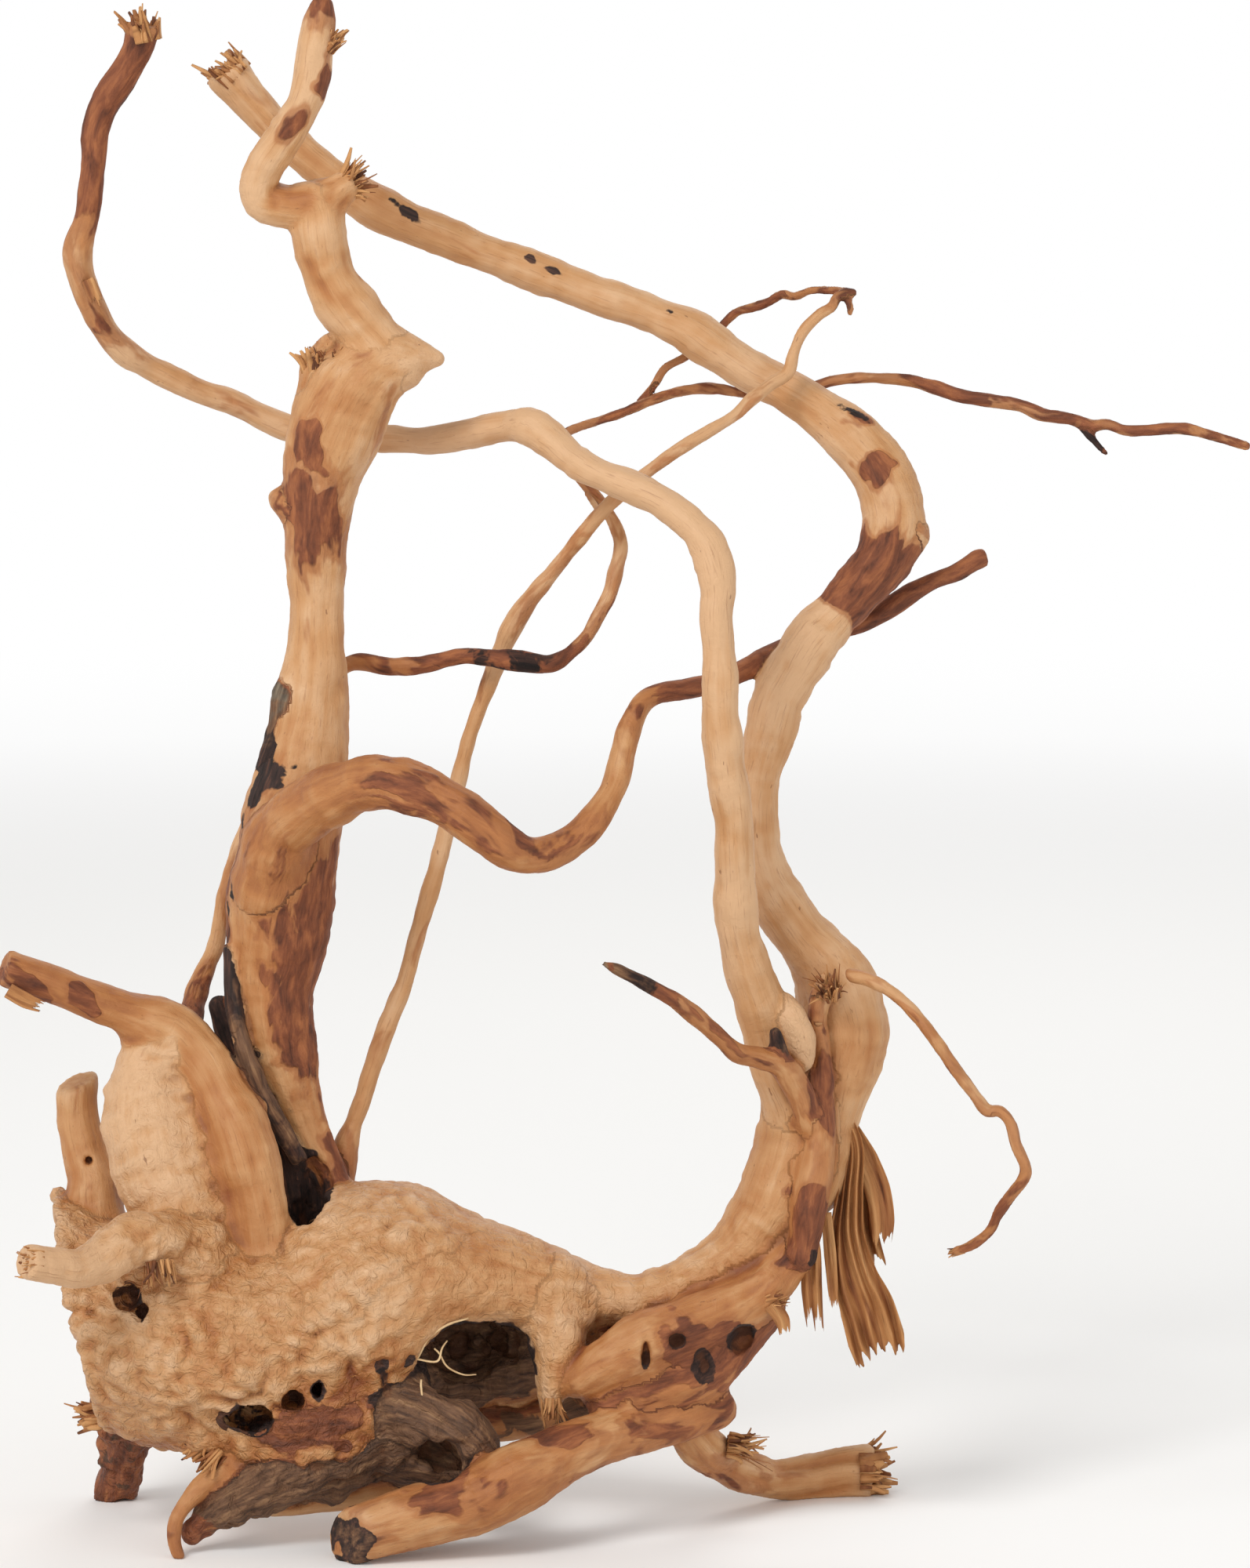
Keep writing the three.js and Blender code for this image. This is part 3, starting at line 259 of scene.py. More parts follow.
STUMP_LIMBS = [
    grown(STUMP, 1.05, 8, burl=1, warm=0.36, bark=0.05),
    grown(BRIDGE, 1.05, 10, burl=[(0, 0.8), (3, 0.6), (9, 0.4), (13, 0.1)],
          warm=[(0, 0.3), (9, 0.32), (17, 0.45)], bark=[(0, 0.03), (9, 0.08), (14, 0.2), (17, 0.3)],
          wrinkled=[(0, 0), (5, 0.5), (11, 0.7), (14, 0.2)]),
    grown(BRIDGE_FILL, 1, 12, burl=0.6, warm=0.28, bark=0.03),
    grown(UNDER_BURL, 1.1, 8, burl=1, warm=0.6, bark=0.25),
    grown(HOLLOW_BACK, 0.9, 9, burl=0.6, dark=0.2, grey=0.4, warm=0.55, bark=0.35),
]
GROWN_LIMBS = [
    grown(TRUNK, 1, 6, warm=[(0, 0.6), (8, 0.5), (10, 0.35), (23, 0.3)],
          torn=[(0, 0.5), (4, 0.3), (9, 0.1), (18, 0), (20, 0.2)],
          bark=[(0, 0.5), (4, 0.62), (7, 0.68), (9, 0.4), (11, 0.16), (14, 0.18), (15, 0.42),
                (17, 0.46), (18, 0.36), (20, 0.22)]),
    grown(TRUNK_SHOULDER, 1, 6, warm=0.5, bark=0.2, torn=0.8),
    grown(TRUNK_KNOB, 1, 4, warm=0.5, bark=0.5),
    grown(TRUNK_SCAR, 1, 4, dark=[(0, 0.3), (1, 0.8), (4, 0.95)], grey=[(0, 0.9), (2, 0.8), (3, 0.1)],
          bark=0.7),
    grown(UPPER_TRUNK, 1, 5, warm=0.24, bark=[(0, 0.12), (11, 0.2), (14, 0.15), (16, 0.7)],
          wrinkled=[(0, 0.2), (6, 0.4), (10, 0.5), (13, 0.1)]),
    grown(UPPER_STUB, 1, 4, end_flat=True, warm=0.4, bark=0.15, torn=0.7),
    grown(LONG_LIMB, 1, 5, end_flat=True,
          warm=[(0, 0.25), (12, 0.15), (22, 0.2), (27, 0.4), (38, 0.55)],
          bark=[(0, 0.05), (22, 0.08), (25, 0.3), (29, 0.42), (31, 0.5), (33, 0.78), (37, 0.85),
                (38, 0.5)], torn=[(0, 0), (36, 0.1), (38, 0.8)],
          wrinkled=[(0, 0), (9, 0.15), (12, 0.4), (18, 0.3), (22, 0)]),
    grown(ARCH_LIMB, 1, 7, end_flat=True,
          warm=[(0, 0.4), (5, 0.35), (12, 0.22), (14, 0.25), (22, 0.3), (39, 0.45)],
          bark=[(0, 0.15), (5, 0.12), (13, 0.1), (14.6, 0.25), (15.2, 0.8), (17, 0.8), (17.8, 0.3),
                (19, 0.2), (22, 0.18), (33, 0.2), (39, 0.1)], torn=[(0, 0), (36, 0), (39, 0.9)],
          wrinkled=[(0, 0.2), (14, 0.5), (20, 0.2)]),
    grown(ARCH_KNOB, 1, 5, warm=0.4, bark=0.45),
    grown(CROOKED_ARM, 1, 6, end_flat=True, warm=0.72,
          bark=[(0, 0.38), (3, 0.32), (5, 0.48), (8, 0.54), (11, 0.46), (13, 0.42), (16, 0.38),
                (17.5, 0.8), (29, 0.9)]),
    grown(LEFT_ARM, 1, 4, start_flat=True, warm=[(0, 0.75), (6, 0.68), (9, 0.5)],
          bark=[(0, 0.5), (1, 0.35), (5, 0.25), (8, 0.12)]),
    grown(PALE_NECK, 1, 11, warm=0.12, bark=0.0, burl=[(0, 0.15), (3, 0.3), (5, 0.45), (6, 1)],
          wrinkled=1),
    grown(SAWN_PEG, 1, 4, start_flat=True, facing=(-0.3, -0.25, 0.9), warm=0.5,
          bark=[(0, 0.2), (3, 0.3), (5, 0.1)]),
    grown(FRONT_PEG, 1, 8, start_flat=True, warm=0.2, bark=0.05, burl=[(0, 0), (3, 0.15), (6, 1)],
          wrinkled=0.5),
    # A wall behind the slot, painted near black as the shade deep inside the slot
    grown(SLOT_WALL, 1, 3, dark=0.8, grey=0.1, bark=0.9),
    grown(SLOT_LIP, 1, 2.5, dark=[(0, 0.8), (3, 0.9), (5, 0.7)],
          grey=[(0, 0.1), (2, 0.4), (4, 0.3), (6, 0.1)], bark=0.8, torn=0.3),
    grown(RAGGED_ROOT, 1, 4, dark=[(0, 0.8), (3, 0.75), (4, 0.3)], grey=0.45, warm=0.6, bark=0.75,
          burl=1, torn=0.8),
    grown(TAN_ROOT, 1, 3, warm=0.35, bark=0.1, torn=0.5),
    grown(TOE_ROOT, 1, 3, warm=0.65, bark=0.5, dark=0.15),
    grown(BACK_FOOT, 1, 5, dark=0.42, grey=0.2, warm=0.8, bark=0.75, burl=1),
    grown(HOLLOW_LEG, 1, 7, warm=0.26, bark=0.03, burl=0.7, wrinkled=0.6),
    grown(BACK_ROOT, 1, 3, dark=0.45, grey=0.45, warm=0.6, bark=0.5),
    grown(CURLED_EAR, 1, 4, dark=0.85, grey=0.48, warm=0.5, bark=0.35, burl=0.5, torn=0.5),
    grown(EAR_ROOT, 1, 4, dark=0.85, grey=0.45, bark=0.6, burl=0.4, torn=0.4),
    grown(SADDLE_RIDGE, 1, 5, warm=0.65, bark=0.36, torn=0.35),
    grown(SADDLE_BODY, 1, 5, warm=0.8, bark=0.55, torn=0.3),
    grown(FRONT_LEG, 1, 4, end_flat=True, facing=(-0.76, -0.64, 0.1), warm=[(0, 0.65), (8, 0.55)],
          bark=[(0, 0.5), (3, 0.46), (8, 0.38)]),
    grown(FRAYED_ROOT, 0.7, 3, end_flat=True, warm=0.5, bark=[(0, 0.55), (3, 0.35), (6, 0.12)],
          torn=1.3),
    grown(CLIMBING_ROOT, 1, 4, warm=0.55, bark=[(0, 0.5), (2, 0.3), (4, 0.5), (7, 0.3)]),
    grown(CALLUS, 1, 3, warm=0.05, bark=0.1, burl=0.3),
    grown(SNAG_TWIG, 1, 3, warm=0.6, bark=[(0, 0.5), (3, 0.45), (6, 0.5), (9, 0.85)],
          dark=[(0, 0), (7, 0.1), (9, 0.7), (11, 0.6)], grey=[(0, 0), (9, 0.2), (11, 0.8)]),
    grown(SNAG_SPUR, 1, 2, warm=0.6, bark=0.8, dark=[(0, 0.1), (1, 0.6), (2, 0.9)], grey=0.3),
    grown(TALL_STEM, 1, 2.5, warm=0.48,
          bark=[(0, 0.5), (3, 0.25), (12, 0.3), (16, 0.4), (24, 0.25), (31, 0.5)]),
    grown(STEM_HOOK, 1, 1.5, warm=0.5, bark=0.6),
    grown(LOOP_TWIG, 1, 1.5, warm=0.55, bark=0.55),
    grown(LONG_TWIG, 1, 2, warm=0.55,
          dark=[(0, 0.6), (2, 0.1), (11, 0.1), (13, 0.35), (16, 0.55), (18, 0.2), (28, 0.1)],
          bark=[(0, 0.7), (4, 0.3), (10, 0.4), (12, 0.65), (17, 0.8), (20, 0.42), (27, 0.45),
                (30, 0.55), (51, 0.62)]),
    grown(TWIG_SPUR, 1, 1.5, bark=0.9, dark=0.6),
    grown(TWIG_THORN, 1, 1.5, bark=0.6),
    grown(DROOPING_TWIG, 1, 2, end_flat=True, warm=0.55,
          bark=[(0, 0.6), (3, 0.38), (12, 0.42), (16, 0.65), (19, 0.4)]),
]

# Hollows eaten into the wood: [across, up, depth] and half sizes across, up and in depth.
HOLLOWS = [
    ([-59, 81, -9], [22, 15.5, 36]), ([-145, 59, -33], [8.5, 7, 14]),
    ([-117, 70, -34], [3.4, 6.5, 12]), ([-190, 103.5, -37], [4.6, 4, 10]),
    ([-72, 41, -34], [11, 8.5, 17]), ([20, 86.5, -27], [3.6, 3.6, 8]), ([30, 76, -24], [4, 6.5, 9]),
    ([45, 88, -17], [4.5, 6, 9]), ([-120.5, 141, -3], [9.4, 19, 17]), ([-127, 64, -38], [3, 3, 8]),
    ([-185, 97, -40], [2, 3.5, 7]), ([8, 80, -28], [1.6, 6, 5]), ([-205, 156, 9], [1.3, 1.3, 3]),
]
HOLLOW_SOFT = 1.6
# Painted shade in and round each hollow: its reach as a share of the hollow's size, its strength and how
# sharply it fades
HOLLOW_SHADE_REACH = 1.35
HOLLOW_SHADE_STRENGTH = 0.8
HOLLOW_SHADE_FADE = 3
HOLLOW_RAGGED = 2.2
HOLLOW_SMALL = 7.0

# The saw cut on the stump's left runs through these two points of the front view.
CUT_LOW = [-203.5, 76]
CUT_HIGH = [-220, 145]

# Stains: the line they follow as [across, up, depth], their half width, the finish that they change and
# by how much.
STAINS = [
    ([[-92, 526, 41], [-84, 520, 42], [-78, 515, 43]], 2.4, "dark", 0.62),
    ([[78, 449, 40], [86, 444, 39], [93, 439, 38]], 2.6, "dark", 0.55),
    ([[92, 441, 38]], 4, "bark", 0.7), ([[-39, 502, 48], [-35, 500.5, 48]], 1.6, "dark", 0.7),
    ([[-29, 497, 48], [-21, 494, 48]], 1.7, "dark", 0.7),
    ([[15, 482.3, 49], [18, 481.6, 49]], 1.5, "dark", 0.9),
    ([[24, 479.5, 47], [33, 475.5, 46]], 1.8, "dark", 0.8),
    ([[-75, 514, 45], [-48, 506, 47], [-20, 499, 48], [10, 487, 49], [40, 470, 46]], 1.2, "bark", 0.35),
    ([[97, 424, 30]], 4.5, "bark", 0.9), ([[64, 362, 12]], 3, "dark", 0.6),
    ([[-122, 434, -13], [-120, 424, -13]], 4.5, "bark", 0.8),
    ([[-126, 414, -8], [-121, 398, -8], [-114, 404, -9]], 5, "bark", 0.45),
    ([[-112, 577, -30], [-112.5, 566, -28]], 4, "bark", 0.9),
    ([[-122, 556, -27], [-128, 550, -25]], 3, "bark", 0.35),
    ([[-134, 523, -17], [-122, 524, -17]], 3.5, "warm", 0.5),
    ([[-108, 502, -16], [-101, 490, -15]], 3, "warm", 0.5),
    ([[-121, 500, -14], [-113, 487, -15], [-104, 480, -15]], 3, "warm", 0.45),
    ([[-136, 306, -5], [-139, 294, -3], [-143, 285, 0]], 5.5, "dark", 0.75),
    ([[-148, 262, 4], [-151, 236, 6]], 4.5, "dark", 0.7),
    ([[-145, 256, -4], [-147, 232, -4], [-144, 208, -4], [-135, 186, 0], [-124, 166, 5]], 6.5, "bark",
     -0.62),
    ([[-112, 262, -6], [-116, 228, -5], [-122, 200, 0]], 6, "bark", 0.4),
    ([[-104, 272, -4], [-110, 262, -8]], 5, "dark", 0.55),
    ([[-228, 224, -24], [-224, 220, -20]], 4, "bark", 0.6),
    ([[-209, 220, -19], [-203, 213, -16]], 3.5, "bark", 0.7), ([[-86, 67, -34]], 4.2, "dark", 1.0),
    ([[-92, 72, -34], [-86, 60, -34]], 6, "dark", 0.5),
    ([[22, 84, -26], [34, 76, -20], [44, 88, -14]], 7, "bark", 0.5),
    ([[34, 74, -18], [46, 90, -12], [50, 98, -12]], 6, "dark", 0.4),
    ([[-130, 60, -40], [-108, 66, -38], [-92, 80, -34]], 9, "warm", 0.5),
    ([[-128, 58, -40], [-104, 60, -38]], 6, "bark", 0.35),
    ([[70, 140, -17], [72, 124, -16], [68, 116, -18]], 5, "bark", 0.5),
    ([[73, 118, -14]], 3.5, "dark", 0.8), ([[74, 188, -9], [78, 172, -10]], 4.5, "bark", 0.6),
    ([[58, 205, -26]], 3.5, "dark", 0.8), ([[-110, 11.4, -58]], 9, "dark", 2.0),
    ([[-110, 11.4, -58]], 9, "grey", 0.5),
    ([[-145, 59, -36], [-136, 52, -38], [-118, 54, -38]], 7, "bark", 0.55),
    ([[-145, 58, -36], [-132, 56, -38]], 6, "dark", 0.4),
    ([[-112, 52, -40], [-98, 58, -38], [-90, 66, -36]], 6, "bark", 0.6),
    ([[-104, 54, -40], [-92, 64, -36]], 5, "dark", 0.45),
    ([[-78, 80, 6], [-60, 72, 8], [-42, 74, 6]], 15, "dark", 0.8),
    ([[-78, 80, 6], [-42, 74, 6]], 15, "grey", 0.15),
    ([[-70, 28, -56], [-62, 40, -50]], 6, "bark", 0.4),
    ([[-30, 52, -38], [-20, 54, -36]], 5, "bark", 0.4),
]
STAIN_STEPS = 12
STAIN_MARGIN = 3
STAIN_FADE = 1.5
STAIN_RAGGED = 0.6

# Layers of noise, each a strength, a spacing in millimetres and a seed.
STAIN_EDGE = [(0.7, 2.6, 36)]
HOLLOW_RAGS = [(1.0, 8, 31), (0.5, 3.6, 32)]
BURL_WAVES = [(1.7, 22, 1)]
BURL_LUMPS = [(2.9, 13, 2), (2.2, 7.5, 3), (1.2, 4.6, 14)]
BURL_UNEVEN = [(1.2, 30, 17)]
SWELLS = [(0.75, 15, 4), (0.45, 7, 5), (0.2, 3.6, 16)]
RIBS = [(0.3, (34, 3.4, 3.4), 6), (0.16, (16, 1.9, 1.9), 7)]
BARK_GRIT = [(0.22, 2.4, 8)]
BARK_FLAKES = [(0.12, (5, 2.2, 2.2), 9)]
TORN_GROOVES = [(1.1, (45, 2.9, 2.9), 10)]
TORN_SPLITS = [(0.6, (60, 4.5, 4.5), 11)]
RAGGED_SHELVES = [(1.6, (11, 9, 5), 12)]
RAGGED_CRUMBS = [(0.9, 4, 13)]
FOLDS = [(0.95, (3.3, 13, 13), 15)]
STRIP_RAGS = [(1.0, (0.9, 1, 1), 50), (0.35, (0.23, 1, 1), 70)]
STRIP_GROOVES = [(0.75, (26, 1.5, 5), 60), (0.4, (12, 0.8, 5), 61)]
STRIP_SWAY = [(2.2, (30, 5, 5), 62)]

# How the noise is used: how far borders stray, how far lumps and folds are bent, and how high lumps are.
STRAY_SPACING = 6
STRAY_SEEDS = (33, 34, 35)
FINISH_RAGGED = 3.0
FINISH_ROUNDS = 5
FINISH_EASE = 2
LIMB_APART = 97.0
BEND = 4.5
BEND_SPACING = 15
BEND_SEEDS = (21, 22, 23)
FOLD_BEND = 0.8
LUMP_USUAL = 0.3
UNEVEN_USUAL = 1.1
UNEVEN_LIMITS = (0.65, 1.7)
SLIM_RADIUS = 8
SLIM_LEAST = 0.35
LATTICE = 64
TURN = np.array([[0.36, 0.48, -0.8], [-0.8, 0.6, 0.0], [0.48, 0.64, 0.6]])

# The grid that the wood is grown in, how far from a limb its distance is kept, and the balls along a limb.
CELL = 1.1
GRID_LOW = np.array([-252.0, -96.0, -5.0])
GRID_HIGH = np.array([252.0, 98.0, 597.0])
REACH = 12.0
FAR = 40.0
SPHERE_SHARE = 0.3
SPHERE_LEAST = 0.8
SPHERE_MOST = 6.0
FEWEST_SPHERES = 3
CURVE_STEPS = 24
LIMB_LUMP = 0.055
LUMP_RATES = (0.9, 1.7, 0.37)
TINY = 1e-9
SAWN_SOFT = 2.2

# The wood is skinned in stages, one above the other. Each runs on into the next and sinks under it.
STAGES = [-10.0, 62.0, 98.0, 150.0, 250.0, 400.0, 600.0]
STAGE_LAP = 7.0
STAGE_SINK = 0.06
STAGE_EDGE = 3
CAVITY_ROUNDS = 8
CAVITY_EASING = 2
CAVITY_LEVEL = 0.5

CELLS_ROUND_EDGE = [(-1, -1), (0, -1), (0, 0), (-1, 0)]
SKIN_SIZE = np.ceil((GRID_HIGH - GRID_LOW) / CELL).astype(int) + 1


def placed(rows):
    """Points of the front view put in space: each lies on the sight line from the eye through its place on
    the picture plane, at its own depth. Also gives how much larger than seen a thing is there."""
    rows = np.asarray(rows, float)
    rise = rows[:, 1] - VIEW_HEIGHT / 2
    tall, deep = math.cos(EYE_TILT), math.sin(EYE_TILT)
    eye = np.array([0, -EYE_DISTANCE * tall, AIM_HEIGHT + EYE_DISTANCE * deep])
    seen = np.stack([rows[:, 0], rise * deep, AIM_HEIGHT + rise * tall], axis=1)
    reach = (rows[:, 2] - eye[1]) / (seen[:, 1] - eye[1])
    return eye + (seen - eye) * reach[:, None] - MIDDLE, reach


def smooth_curve(points):
    """A curve through the points: between two neighbours it is the cubic whose slope at each point runs
    from the point before to the point after. Gives the fine points and their place in the list."""
    knots = np.vstack([2 * points[0] - points[1], points, 2 * points[-1] - points[-2]])
    spans = len(points) - 1
    place = np.linspace(0, spans, spans * CURVE_STEPS + 1)
    span = np.minimum(place.astype(int), spans - 1)
    share = (place - span)[:, None]
    before, here, there, after = (knots[span + step] for step in range(4))
    curve = here + 0.5 * share * (
        there - before + share * (2 * before - 5 * here + 4 * there - after
                                  + share * (3 * here - before - 3 * there + after)))
    return curve, place


def unit(vectors):
    """Vectors at length one."""
    return vectors / np.maximum(np.linalg.norm(vectors, axis=-1, keepdims=True), TINY)


def finish_along(finish, place):
    """The value of a finish at places along a route: straight lines between the pairs given."""
    if isinstance(finish, (int, float)):
        return np.full(len(place), float(finish))
    stops = np.array(finish, float)
    return np.interp(place, stops[:, 0], stops[:, 1])


def beads(limb, seed):
    """Balls strung closely along a limb's curve, each with the limb's radius there times a slow random
    swell. Gives their centres, radii, length along, section axes and finish."""
    points, reach = placed(limb["route"])
    curve, place = smooth_curve(points)
    radius = np.interp(place, np.arange(len(points)), np.asarray(limb["route"], float)[:, 3] * reach)
    steps = np.linalg.norm(np.diff(curve, axis=0), axis=1)
    along = np.concatenate([[0], np.cumsum(steps)])
    gap = np.clip(SPHERE_SHARE * radius, SPHERE_LEAST, SPHERE_MOST)
    count = np.concatenate([[0], np.cumsum(steps / gap[1:])])
    wanted = np.linspace(0, count[-1], max(FEWEST_SPHERES, int(count[-1]) + 1))
    length = np.interp(wanted, count, along)
    centre = np.stack([np.interp(length, along, curve[:, axis]) for axis in range(3)], axis=1)
    radius = np.interp(length, along, radius)
    draws = np.random.default_rng(seed)
    phase = draws.uniform(0, 2 * math.pi, len(LUMP_RATES))
    turns = length / np.mean(radius)
    swell = sum(np.sin(rate * turns + shift) for rate, shift in zip(LUMP_RATES, phase))
    radius = radius * (1 + LIMB_LUMP * swell / 2)
    heading = unit(np.gradient(centre, axis=0))
    wide = unit(np.cross(heading, [0.0, 1.0, 0.0]))
    place = np.interp(length, along, place)
    finish = {name: finish_along(limb["finish"].get(name, 0.0), place) for name in FINISHES}
    return dict(centre=centre, radius=radius, length=length, heading=heading, wide=wide,
                deep=np.cross(wide, heading), finish=finish)


def joined(first, second, soft):
    """Two distances as one: the lesser of them, lowered where they are alike so that the join is filled."""
    close = np.maximum(soft - np.abs(first - second), 0)
    return np.minimum(first, second) - close * close / (4 * soft)


def window(low, high):
    """The part of the grid that holds a box, as slices, with the millimetre marks of its three axes."""
    first = np.clip(np.floor((low - GRID_LOW) / CELL).astype(int), 0, SKIN_SIZE)
    last = np.clip(np.ceil((high - GRID_LOW) / CELL).astype(int) + 1, 0, SKIN_SIZE)
    slices = tuple(slice(a, b) for a, b in zip(first, last))
    marks = [(start + CELL * np.arange(*ends)).astype(np.float32)
             for start, *ends in zip(GRID_LOW, first, last)]
    return slices, marks


def off_plane(marks, point, facing):
    """How far each grid point of a window lies in front of a plane."""
    x, y, z = (mark - place for mark, place in zip(marks, point))
    return ((x * facing[0])[:, None, None] + (y * facing[1])[None, :, None]
            + (z * facing[2])[None, None, :]).astype(np.float32)


def grow(field, limb, string):
    """Adds a limb to the field of distances: at each grid point, the least distance to any of its balls,
    flattened in depth, is joined softly with what is there. A sawn end is cut by a plane across it."""
    deep = np.array([1.0, limb["through"], 1.0])
    pads = (string["radius"][:, None] + REACH) * deep
    slices, marks = window((string["centre"] - pads).min(0), (string["centre"] + pads).max(0))
    patch = np.full([len(mark) for mark in marks], FAR, np.float32)
    for centre, radius, pad in zip(string["centre"], string["radius"], pads):
        inner = tuple(slice(*np.searchsorted(mark, (place - edge, place + edge)))
                      for mark, place, edge in zip(marks, centre, pad))
        x, y, z = (((mark[part] - place) / flat) ** 2
                   for mark, part, place, flat in zip(marks, inner, centre, deep))
        gap = np.sqrt(x[:, None, None] + y[None, :, None] + z[None, None, :]) - np.float32(radius)
        np.minimum(patch[inner], gap, out=patch[inner])
    for flat, end, way in ((limb["start_flat"], 0, -1), (limb["end_flat"], -1, 1)):
        if flat:
            along = way * string["heading"][end]
            face = along if limb["facing"] is None else unit(np.array(limb["facing"]))
            patch = -joined(-patch, -off_plane(marks, string["centre"][end], face), SAWN_SOFT)
    field[slices] = joined(field[slices], patch, limb["blend"])


def eat(field, centre, half):
    """Hollows the wood out with an egg that noise makes ragged: the field is kept to what lies outside it,
    with softened rims."""
    half = np.array(half, float)
    slices, marks = window(centre - half - REACH, centre + half + REACH)
    x, y, z = (((mark - place) / size) ** 2 for mark, place, size in zip(marks, centre, half))
    egg = (np.sqrt(x[:, None, None] + y[None, :, None] + z[None, None, :]) - 1) * half.min()
    spots = np.stack(np.meshgrid(*marks, indexing="ij"), axis=-1).reshape(-1, 3)
    ragged = HOLLOW_RAGGED * min(half.min() / HOLLOW_SMALL, 1)
    egg = egg + ragged * layered(turned(spots), HOLLOW_RAGS).reshape(egg.shape)
    field[slices] = -joined(-field[slices], egg.astype(np.float32), HOLLOW_SOFT)


def saw(field):
    """Takes the left side off the stump, along a plane through two points of the front view."""
    ends, _ = placed([CUT_LOW + [0], CUT_HIGH + [0]])
    along = ends[1] - ends[0]
    facing = unit(np.array([-along[2], 0.0, along[0]]))
    _, marks = window(GRID_LOW, GRID_HIGH)
    np.maximum(field, off_plane(marks, ends[0], facing), out=field)


def skin(field, low):
    """The surface where the field is zero: one point in each grid cell that it crosses, at the middle of
    its crossings with the cell's edges, and one four-sided face round each crossed edge of the grid."""
    inside = field < 0
    corners = np.zeros([size - 1 for size in field.shape], np.int8)
    ends = (slice(None, -1), slice(1, None))
    for x in ends:
        for y in ends:
            for z in ends:
                corners += inside[x, y, z]
    cells = np.argwhere((corners > 0) & (corners < 8))
    number = np.full(corners.shape, -1, np.int32)
    number[tuple(cells.T)] = np.arange(len(cells))
    total = np.zeros((len(cells), 3))
    hits = np.zeros(len(cells))
    faces = []
    for axis in range(3):
        step = np.eye(3, dtype=int)[axis]
        side, up = np.eye(3, dtype=int)[(axis + 1) % 3], np.eye(3, dtype=int)[(axis + 2) % 3]
        for i in (0, 1):
            for j in (0, 1):
                start = cells + i * side + j * up
                first = field[tuple(start.T)]
                second = field[tuple((start + step).T)]
                crossed = (first < 0) != (second < 0)
                share = np.where(crossed, first / np.where(crossed, first - second, 1), 0)
                total += (i * side + j * up + share[:, None] * step) * crossed[:, None]
                hits += crossed
        before = [slice(None)] * 3
        after = [slice(None)] * 3
        before[axis], after[axis] = slice(None, -1), slice(1, None)
        edges = np.argwhere(inside[tuple(before)] != inside[tuple(after)])
        ring = [number[tuple((edges + a * side + b * up).T)] for a, b in CELLS_ROUND_EDGE]
        quads = np.stack(ring, axis=1)
        outward = inside[tuple(edges.T)]
        faces.append(np.where(outward[:, None], quads, quads[:, ::-1]))
    return low + CELL * (cells + total / hits[:, None]), np.concatenate(faces)


def mean_of_neighbours(values, faces):
    """For each point, the mean of a value over the points that share an edge with it."""
    first = faces.ravel()
    second = np.roll(faces, -1, axis=1).ravel()
    count = len(values)
    share = np.bincount(first, minlength=count) + np.bincount(second, minlength=count)
    columns = values.reshape(count, -1)
    summed = [np.bincount(first, column[second], count) + np.bincount(second, column[first], count)
              for column in columns.T]
    return (np.stack(summed, axis=1) / share[:, None]).reshape(values.shape)


def normals_of(points, faces):
    """The outward direction at each point: the sum of its faces' directions, each from its diagonals."""
    corner = points[faces]
    facing = np.cross(corner[:, 2] - corner[:, 0], corner[:, 3] - corner[:, 1])
    owner = faces.ravel()
    spread = np.repeat(facing, 4, axis=0)
    return unit(np.stack([np.bincount(owner, spread[:, axis], len(points)) for axis in range(3)], axis=1))


def cloud(points, size, seed):
    """Smooth random values from -1 to 1: random numbers on a lattice of the given spacing, eased between
    its eight corners. The spacing may differ along the three axes."""
    table = np.random.default_rng(seed).uniform(-1, 1, [LATTICE] * 3)
    spot = points / np.asarray(size, float)
    base = np.floor(spot).astype(int)
    share = spot - base
    share = share * share * (3 - 2 * share)
    value = np.zeros(len(points))
    for x in (0, 1):
        for y in (0, 1):
            for z in (0, 1):
                corner = (base + (x, y, z)) % LATTICE
                weight = np.prod(np.where(np.array([x, y, z]) == 1, share, 1 - share), axis=1)
                value += weight * table[tuple(corner.T)]
    return value


def layered(points, layers):
    """Layers of noise added up."""
    return sum(strength * cloud(points, spacing, seed) for strength, spacing, seed in layers)


def turned(points):
    """Points turned off the axes, so that no lattice lines up with the grid."""
    return points @ TURN.T


def nearest_bead(points, centre, radius, batch=8192):
    """For each point, the number of the ball whose surface is nearest."""
    found = np.empty(len(points), int)
    square = (centre * centre).sum(1)
    for start in range(0, len(points), batch):
        part = points[start:start + batch]
        gap = (part * part).sum(1)[:, None] + square - 2 * part @ centre.T
        found[start:start + batch] = np.argmin(np.sqrt(np.maximum(gap, 0)) - radius, axis=1)
    return found


